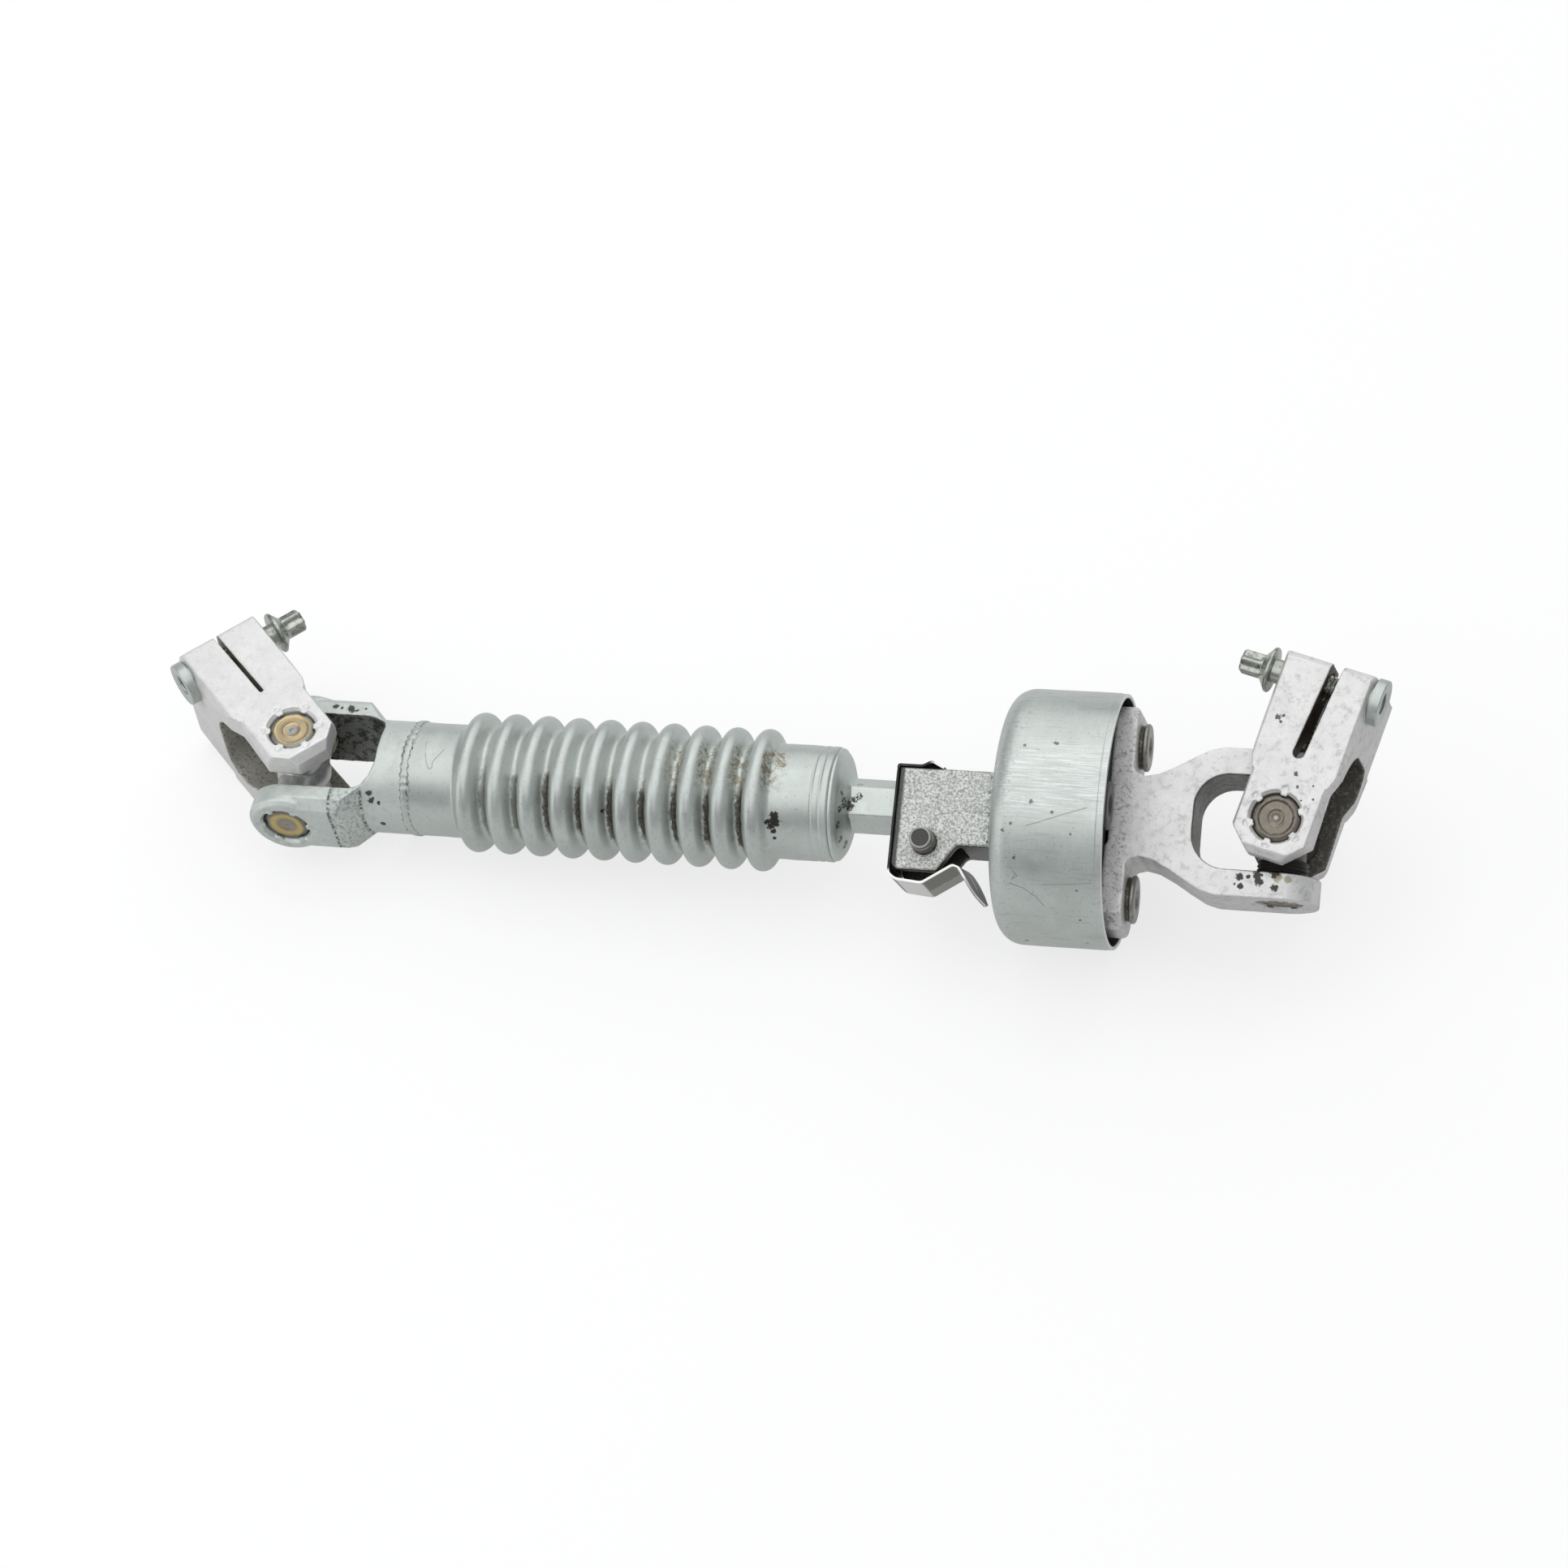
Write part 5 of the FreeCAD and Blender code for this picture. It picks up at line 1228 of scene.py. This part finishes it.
class SHAFT_OT_bearings(bpy.types.Operator):
    """Bearing caps and seals of both joints"""
    bl_idname = "shaft.bearings"
    bl_label = "Caps and seals"

    def execute(self, context):
        """Caps and seals are turned about their own pins."""
        steps = surface().small_turn_steps
        sets = (
            ("left_clamp_caps", "left_clamp", LEFT_CLAMP, 2, "gold_caps", GOLD_BANDS),
            ("left_fork_caps", "tube", SHAFT, 1, "brass_caps", BRASS_BANDS),
            ("right_clamp_caps", "right_clamp", RIGHT_CLAMP, 2, "brown_caps", BROWN_BANDS),
            ("right_fork_caps", "flange", FLANGE, 1, "brown_fork_caps", BROWN_BANDS),
        )
        for name, body, frame, axis, coat_name, bands in sets:
            material = kept(coat_name, cap_coat, bands, [(frame, axis)])
            pair = []
            for sign in (1, -1):
                pin = [0, 0, 0]
                pin[axis] = sign
                own = turned_frame(frame, (0, 0, 0), pin, (1, 0, 0))
                pair.append(turned(name + str(sign), self.cap(), own, steps))
            dress(joined(name + "_skin", pair), body, "cap_brass_tint", material, name)
        pale = kept("pale_seal", seal_coat, (0.52, 0.50, 0.33), 0.2)
        black = kept("black_seal", seal_coat, (0.028, 0.025, 0.023), 0.8)
        self.seals("left", SHAFT, "seal_rubber", pale, self.lip_seal(), steps)
        self.seals("right", FLANGE, "black_rubber", black, self.ribbed_seal(), steps)
        return {"FINISHED"}

    def cap(self):
        """Half section of a drawn cap: centre dimple, shallow dish, raised ring, round shoulder and bore."""
        top = CAP_REACH / MM
        return softened([
            (top - 0.62, 0), (top - 0.40, 0.35), (top - 0.62, 0.9), (top - 0.55, 2.2), (top - 0.12, 2.9),
            (top - 0.32, 3.5), (top - 0.40, 5.1), (top - 0.05, 5.6), (top, 6.2), (top - 0.35, 7.1),
            (top - 1.2, 7.85), (top - 8.55, 7.98), (top - 8.55, 6.85), (top - 1.7, 6.82), (top - 1.7, 0),
        ], 0.45, 4) * MM

    def lip_seal(self):
        """Half section of a seal with two lips."""
        lips = [(12.2, 7.3), (12.7, 7.9), (13.2, 7.4), (13.7, 7.9), (14.28, 7.3)]
        return softened([(12.2, 4.8)] + lips + [(14.28, 4.8), (12.2, 4.8)], 0.3, 3) * MM

    def ribbed_seal(self):
        """Half section of a ribbed boot that reaches in over the cross."""
        ribs = [(9.7 + 0.65 * index, 8.35 if index % 2 else 7.55) for index in range(8)]
        outline = [(9.6, 6.4), (9.6, 7.4)] + ribs + [(14.28, 8.0), (14.28, 6.4), (9.6, 6.4)]
        return softened(outline, 0.3, 3) * MM

    def seals(self, side, frame, slot_name, material, profile, steps):
        """Four seals of a joint, on the pins of its fork and of its clamp."""
        fork_pin = frame[1][1]
        clamp_pin = np.array(JOINTS[side + "_clamp_pivot"]["axis"])
        rings = []
        for index, pin in enumerate((fork_pin, -fork_pin, clamp_pin, -clamp_pin)):
            own = axes_from(frame[0], pin, SHAFT[1][0])
            rings.append(turned(side + "_seal" + str(index), profile[:-1], own, steps, closed=True))
        dress(joined(side + "_seals_skin", rings), side + "_cross", slot_name, material, side + "_seals")


def lobed_head(frame, start, end, radius, depth, lobes, steps):
    """Lobed bolt head: radius swings with the cosine of the lobes' turn, eased at both ends."""
    edge = 0.7 * MM
    profile = [(start, radius), (end - edge, radius), (end, radius - edge), (end, 0)]
    profile = dense(softened(profile, 0.3 * MM, 4), 0.5 * MM)

    def lobe(along, out, turn):
        """Deep flutes between narrow lobes, fading towards the flange and at the middle."""
        wave = (1 - np.cos(lobes * turn)) / 2
        fade = np.clip((along - start) / (1.6 * MM), 0.15, 1)
        return -depth * wave ** 0.8 * np.clip(out / radius, 0, 1) ** 2 * fade

    return turned("lobed_head", profile, frame, steps, lobe, sharp=40)


def threaded_bar(frame, start, end, radius, depth, pitch, steps=48):
    """Threaded bar: the radius falls and rises once per pitch, shifted one pitch per turn."""
    rows = int((end - start) / pitch * 8)
    x = np.linspace(start, end, rows)
    profile = np.stack([x, np.full(rows, radius)], axis=-1)
    profile = np.concatenate([[[start, 0]], profile, [[end, 0]]])

    def helix(along, out, turn):
        """Triangle wave along a helix, fading at the ends."""
        phase = (along / pitch - turn / (2 * pi)) % 1.0
        fade = np.clip((along - start) / pitch, 0, 1) * np.clip((end - along) / pitch, 0, 1)
        return -np.where(out > 0, depth * np.abs(2 * phase - 1) * fade, 0)

    return turned("threaded_bar", profile, frame, steps, helix, sharp=70)


class SHAFT_OT_fasteners(bpy.types.Operator):
    """Pinch bolts, clamp nuts, coupling rivets and the jaw's cross bolt"""
    bl_idname = "shaft.fasteners"
    bl_label = "Fasteners"

    def execute(self, context):
        """Bolts lie along their yoke's y axis; the head's side differs between the two yokes."""
        small = surface().small_turn_steps
        olive = (0.105, 0.10, 0.072)
        steel = kept("bolt_coat", plain_coat, (0.35, 0.365, 0.335), 0.27, 0.92, 0.25, 0.15, olive)
        zinc = kept("nut_coat", plain_zinc, 0.94)
        for side, frame, sign in (("left", LEFT_CLAMP, -1), ("right", RIGHT_CLAMP, 1)):
            station = sum(span(side + "_clamp_nut", frame, 0)) / 2
            height = sum(span(side + "_clamp_nut", frame, 2)) / 2
            own = turned_frame(frame, (station, 0, height), (0, sign, 0), (1, 0, 0))
            bolt = joined(side + "_pinch_bolt_skin", self.pinch_bolt(side, own, small))
            dress(bolt, side + "_clamp", "bolt_steel", steel, side + "_pinch_bolt")
            nut = self.nut(side, own, small)
            dress(nut, side + "_clamp", "bolt_steel", zinc, side + "_clamp_nut")
        self.rivets(small)
        self.cross_bolt(small)
        return {"FINISHED"}

    def pinch_bolt(self, side, own, steps):
        """Threaded shank, plain neck under a coned flange, and a lobed head."""
        tip, top = span(side + "_pinch_bolt", own)
        radius = surface().bolt_radius
        flange = top / MM - 10.7
        pitch = surface().thread_pitch
        shank = threaded_bar(own, tip, (flange - 9.0) * MM, radius - 0.02 * MM, 0.62 * MM, pitch)
        body = turned("bolt_body", softened([
            (flange - 9.4, 0), (flange - 9.4, 3.96), (flange, 3.96), (flange, 7.1), (flange + 0.3, 7.4),
            (flange + 1.1, 7.4), (flange + 1.7, 6.5), (flange + 3.3, 4.35), (flange + 3.6, 0),
        ], 0.35, 4) * MM, own, steps)
        head = lobed_head(own, (flange + 2.9) * MM, top, 4.15 * MM, 0.95 * MM, 6, 144)
        return [shank, body, head]

    def nut(self, side, own, steps):
        """Round clamp nut: boss outside the yoke, seat inside it, and a threaded hole right through."""
        pitch = surface().thread_pitch
        start, end = span(side + "_clamp_nut", own)
        bolt_tip = span(side + "_pinch_bolt", own)[0]
        low, high = start / MM, end / MM
        outline = softened([(high, 4.4), (high, 6.2), (low + 3.42, 6.2), (low + 3.42, 7.6), (low + 0.3, 7.6),
                            (low, 7.3), (low, 4.9)], 0.22, 4) * MM
        x = np.linspace(start + 0.5 * MM, end, 90)
        taken = x > bolt_tip - 0.3 * MM
        radius = surface().bolt_radius
        hole = np.stack([x, np.where(taken, radius + 0.02 * MM, radius - 0.62 * MM)], axis=-1)
        profile = np.concatenate([outline, hole])

        def thread(along, out, turn):
            """Helical groove in the hole only."""
            phase = (along / pitch - turn / (2 * pi)) % 1.0
            fade = np.clip((along - start) / pitch, 0, 1) * np.clip((bolt_tip - along) / pitch, 0, 1)
            return np.where(out < 4.2 * MM, 0.55 * MM * np.abs(2 * phase - 1) * fade, 0)

        return turned(side + "_clamp_nut_skin", profile, own, steps, thread, closed=True, sharp=60)

    def rivets(self, steps):
        """Hollow coupling rivets: plain rolled heads inside, a collar and a rolled rim outside."""
        outer = kept("rivet_coat", rivet_coat)
        inner = kept("dark_coat", plain_coat, (0.062, 0.060, 0.060), 0.42, 0.45, 0.3, 0.15)
        circle = surface().rivet_circle
        for name, body, slot_name, material, low, high, head, sideways in (
                ("flange_rivets", "flange", "bolt_steel", outer, RIVET_START, RIVET_END, 3.0, 1),
                ("plate_rivets", "tube", "dark_phosphate", inner, PIN_START, PIN_END, 2.8, 2)):
            low = low / MM
            high = high / MM
            seat = high - head
            rim = high - 1.5
            pair = []
            for sign in (1, -1):
                shift = [0, 0, 0]
                shift[sideways] = sign * circle
                own = turned_frame(RIGHT_HALF, shift, (1, 0, 0), (0, 1, 0))
                outline = softened([
                    (low, 2.65), (low, 6.9), (low + 0.6, 7.8), (low + 2.6, 7.8), (low + 2.8, 4.95),
                    (seat, 4.95), (seat, 7.1), (rim - 0.2, 7.1), (rim, 7.8), (high - 0.5, 7.8), (high, 7.2),
                    (high, 3.8), (high - 1.0, 2.65), (low, 2.65),
                ], 0.35, 4)[:-1] * MM
                pair.append(turned(name + str(sign), outline, own, steps, closed=True))
            dress(joined(name + "_skin", pair), body, slot_name, material, name)

    def cross_bolt(self, steps):
        """Dark bolt across the jaw: plain point in front, hexagonal head behind."""
        dark = kept("pin_coat", pin_coat)
        station = sum(span("jaw_cross_bolt", RIGHT_HALF, 0)) / 2
        drop = sum(span("jaw_cross_bolt", RIGHT_HALF, 1)) / 2
        own = turned_frame(RIGHT_HALF, (station, drop, 0), (0, 0, 1), (1, 0, 0))
        low, high = span("jaw_cross_bolt", own)
        low = low / MM
        high = high / MM
        pin = turned("cross_pin", softened([
            (low + 6.0, 0), (low + 6.0, 3.88), (high - 2.2, 3.88), (high - 1.7, 3.6), (high - 0.4, 3.55),
            (high - 0.05, 3.1), (high - 0.25, 2.6), (high - 0.3, 0),
        ], 0.3, 4) * MM, own, steps)
        apothem = 5.63 * MM

        def six_sided(along, out, turn):
            """Six flats and a rounded crown on the head."""
            bend = (turn + pi / 6) % (pi / 3) - pi / 6
            flat = np.minimum(apothem / np.cos(bend), out)
            return np.where(out > 5 * MM, flat - out, 0)

        head = turned("cross_head", dense(softened([
            (low + 5.98, 0), (low + 5.98, 5.5), (low + 5.4, 6.5), (low + 0.6, 6.5), (low, 5.3), (low, 0),
        ], 0.3, 3), 0.8) * MM, own, 96, six_sided)
        dress(joined("jaw_cross_bolt_skin", [pin, head]), "tube", "dark_phosphate", dark, "jaw_cross_bolt")


class SHAFT_OT_clip(bpy.types.Operator):
    """Spring clip hooked round the jaw, with a twisted leaf below"""
    bl_idname = "shaft.clip"
    bl_label = "Spring clip"

    def execute(self, context):
        """A plate with a round hole in front of the jaw, a hook over it and a ribbon under it."""
        half = span("spring_clip", RIGHT_HALF, 2)[1] / MM
        over = [(222.0, 11.9), (217.9, 13.9), (214.9, 12.2), (207.0, 12.2), (207.0, 10.9)]
        under = [(207.0, -20.6), (207.0, -23.6), (209.4, -25.4), (218.2, -26.2), (227.8, -19.7)]
        over = [(x, y, half, x, y, -half) for x, y in over]
        under = [(x, y, half, x, y, -half) for x, y in under]
        leaf = [(229.9, -20.4, 229.3, -18.2, -7.0), (231.9, -23.4, 231.5, -19.9, -6.0),
                (234.1, -26.8, 234.0, -23.1, -5.5), (236.1, -29.2, 236.2, -26.6, -4.0),
                (238.2, -31.0, 238.3, -30.2, -0.5)]
        taper = LEAF_TAPER * MM
        under += [(x, y, half - taper * (x - LEAF_START / MM) ** 2, far_x, far_y, far_z)
                  for x, y, far_x, far_y, far_z in leaf]
        pieces = [self.plate(half), self.ribbon("hook", over), self.ribbon("leaf", under)]
        clip = joined("spring_clip_skin", pieces)
        dress(clip, "tube", "spring_steel", kept("spring_coat", clip_coat), "spring_clip")
        return {"FINISHED"}

    def plate(self, half):
        """Rectangle with a round hole: points run from the circle to the rim along each turn."""
        turn = np.linspace(0, 2 * pi, 96, endpoint=False)
        up, side = np.cos(turn), np.sin(turn)
        height = np.where(up > 0, 11.2, 21.4)
        rim = np.minimum(height / np.maximum(np.abs(up), 1e-9), half / np.maximum(np.abs(side), 1e-9))
        hole = np.minimum(9.8, rim - 0.3)
        rows = []
        section = ((206.6, hole), (206.6, rim - 0.2), (206.8, rim),
                   (207.2, rim), (207.4, rim - 0.2), (207.4, hole))
        for x, radius in section:
            rows.append(np.stack([np.full(96, x), radius * up, radius * side], axis=-1))
        points = np.stack(rows).reshape(-1, 3) * MM
        return make_object("plate", into(RIGHT_HALF, points), grid_faces(6, 96, True, True), 40)

    def ribbon(self, name, stations):
        """Strip between a near and a far edge, as thick as its share of the normal, closed at both ends."""
        path = softened(stations, 1.5, 5) * MM
        near, far = path[:, :3], path[:, 3:]
        share = np.linspace(0, 1, 12)[None, :, None]
        middle = near[:, None] * (1 - share) + far[:, None] * share
        out = np.cross(np.gradient(near + far, axis=0), far - near)
        out *= 0.38 * MM / np.linalg.norm(out, axis=1, keepdims=True)
        loop = np.concatenate([middle + out[:, None], (middle - out[:, None])[:, ::-1]], axis=1)
        flat = np.concatenate([middle, middle[:, ::-1]], axis=1)
        points = np.concatenate([flat[:1], loop, flat[-1:]])
        rows, columns = points.shape[:2]
        faces = grid_faces(rows, columns, False, True)
        return make_object(name, into(RIGHT_HALF, points.reshape(-1, 3)), faces, 40)


class SHAFT_OT_solids(bpy.types.Operator):
    """Coats on the solids that keep their own shape"""
    bl_idname = "shaft.solids"
    bl_label = "Plain solids"

    def execute(self, context):
        """Each remaining solid gets its coat."""
        black = kept("rubber_coat", plain_coat, (0.020, 0.020, 0.021), 0.62, 0.0, 0.25, 0.25)
        steel = kept("bearing_coat", plain_coat, (0.50, 0.50, 0.50), 0.25, 0.9, 0.1, 0.05)
        plate = kept("zinc_plate_coat", plain_zinc, 0.9)
        for name, material in (
                ("rubber_disc", black), ("coupling_plate", plate), ("plate_sleeves", steel),
                ("flange_sleeves", steel), ("left_clamp_needles", steel), ("left_fork_needles", steel),
                ("right_clamp_needles", steel), ("right_fork_needles", steel)):
            solid = FRAME["nodes"][name]
            solid.data.materials.clear()
            solid.data.materials.append(material)
        return {"FINISHED"}


class SHAFT_OT_studio(bpy.types.Operator):
    """Pale floor, soft lights, world and camera"""
    bl_idname = "shaft.studio"
    bl_label = "Studio"

    def execute(self, context):
        """Places the floor under the part, the sky, the soft lamps and the camera."""
        self.floor()
        self.world()
        for name, spot, size, power in LAMPS:
            self.lamp(name, spot, LAMP_AIM, size, power)
        self.camera()
        context.scene.view_settings.view_transform = "Standard"
        return {"FINISHED"}

    def floor(self):
        """Flat square that glows: up to white for the camera, and less in reflections."""
        half = FLOOR_HALF
        corners = np.array([(-half, -half, 0), (half, -half, 0), (half, half, 0), (-half, half, 0)], float)
        plane = make_object("studio_floor", corners, np.array([[0, 1, 2, 3]]))
        floor = Coat("floor_coat", finish().floor, 0.9, 0.0)
        floor.shader.inputs["Specular IOR Level"].default_value = 0.0
        path = floor.node("ShaderNodeLightPath").outputs
        seen = floor.maths("MULTIPLY", path["Is Camera Ray"], SEEN_GLOW)
        mirrored = floor.either(path["Is Glossy Ray"], path["Is Transmission Ray"])
        lift = floor.maths("ADD", seen, floor.maths("MULTIPLY", mirrored, MIRRORED_GLOW))
        floor.feed(floor.shader.inputs["Emission Strength"], lift)
        floor.shader.inputs["Emission Color"].default_value = (1, 1, 1, 1)
        plane.data.materials.append(floor.done())

    def world(self):
        """Pale sky, darker towards the horizon, white where the camera sees it."""
        world = bpy.data.worlds.new("studio_sky")
        bpy.context.scene.world = world
        world.use_nodes = True
        tree = world.node_tree
        links = tree.links
        split = tree.nodes.new("ShaderNodeSeparateXYZ")
        links.new(tree.nodes.new("ShaderNodeTexCoord").outputs["Generated"], split.inputs[0])
        height = tree.nodes.new("ShaderNodeMapRange")
        height.inputs["From Min"].default_value = 0.0
        height.inputs["From Max"].default_value = 0.9
        links.new(split.outputs[2], height.inputs["Value"])
        sky = tree.nodes.new("ShaderNodeMix")
        sky.data_type = "RGBA"
        sky.inputs[6].default_value = (0.25, 0.255, 0.26, 1)
        sky.inputs[7].default_value = (0.55, 0.56, 0.57, 1)
        links.new(height.outputs["Result"], sky.inputs[0])
        seen = tree.nodes.new("ShaderNodeMix")
        seen.data_type = "RGBA"
        seen.inputs[7].default_value = (1, 1, 1, 1)
        links.new(tree.nodes.new("ShaderNodeLightPath").outputs["Is Camera Ray"], seen.inputs[0])
        links.new(sky.outputs[2], seen.inputs[6])
        links.new(seen.outputs[2], tree.nodes["Background"].inputs["Color"])
        tree.nodes["Background"].inputs["Strength"].default_value = 1.0

    def lamp(self, name, spot, aim, size, power):
        """Square soft lamp at a spot, facing an aim."""
        light = bpy.data.lights.new(name, "AREA")
        light.size = size
        light.energy = power
        thing = bpy.data.objects.new(name, light)
        thing.location = spot
        thing.rotation_euler = (Vector(aim) - Vector(spot)).to_track_quat("-Z", "Y").to_euler()
        bpy.context.scene.collection.objects.link(thing)

    def camera(self):
        """Camera fitted to the picture: its place from the left joint, and its right and up directions."""
        place = Vector(LEFT_CENTRE) + Vector((0.386559, -0.727197, 1.002837))
        right = Vector((0.97901561, 0.18783997, -0.07902264))
        up = Vector((-0.1022748, 0.78829964, 0.60673185))
        data = bpy.data.cameras.new("studio_camera")
        data.sensor_width = SENSOR_WIDTH
        data.lens = SENSOR_WIDTH * FOCAL_LENGTH / PICTURE_WIDTH
        data.clip_start = 0.05
        data.clip_end = 20.0
        thing = bpy.data.objects.new("studio_camera", data)
        turn = Matrix((right, up, right.cross(up))).transposed().to_4x4()
        thing.matrix_world = Matrix.Translation(place) @ turn
        bpy.context.scene.collection.objects.link(thing)
        bpy.context.scene.camera = thing


class SHAFT_PT_panel(bpy.types.Panel):
    """Lists the steps that finish the shaft"""
    bl_label = "Steering Shaft"
    bl_idname = "SHAFT_PT_panel"
    bl_space_type = "VIEW_3D"
    bl_region_type = "UI"
    bl_category = "Shaft"

    def draw(self, context):
        """One button for each step."""
        for step in STEPS:
            self.layout.operator(step.bl_idname)


STEPS = (SHAFT_OT_tube, SHAFT_OT_slip_shaft, SHAFT_OT_cup, SHAFT_OT_yokes, SHAFT_OT_bearings,
         SHAFT_OT_fasteners, SHAFT_OT_clip, SHAFT_OT_solids, SHAFT_OT_studio)
CLASSES = (ShaftSurfaceSettings, ShaftFinishSettings) + STEPS + (SHAFT_PT_panel,)


def register():
    """Registers the classes and the settings."""
    for made in CLASSES:
        bpy.utils.register_class(made)
    bpy.types.Scene.shaft_surface = bpy.props.PointerProperty(type=ShaftSurfaceSettings)
    bpy.types.Scene.shaft_finish = bpy.props.PointerProperty(type=ShaftFinishSettings)


def unregister():
    """Removes the settings and the classes."""
    del bpy.types.Scene.shaft_finish
    del bpy.types.Scene.shaft_surface
    for made in reversed(CLASSES):
        bpy.utils.unregister_class(made)


def main():
    """Runs every step."""
    register()
    bpy.ops.shaft.tube()
    bpy.ops.shaft.slip_shaft()
    bpy.ops.shaft.cup()
    bpy.ops.shaft.yokes()
    bpy.ops.shaft.bearings()
    bpy.ops.shaft.fasteners()
    bpy.ops.shaft.clip()
    bpy.ops.shaft.solids()
    bpy.ops.shaft.studio()


if __name__ == "__main__":
    main()
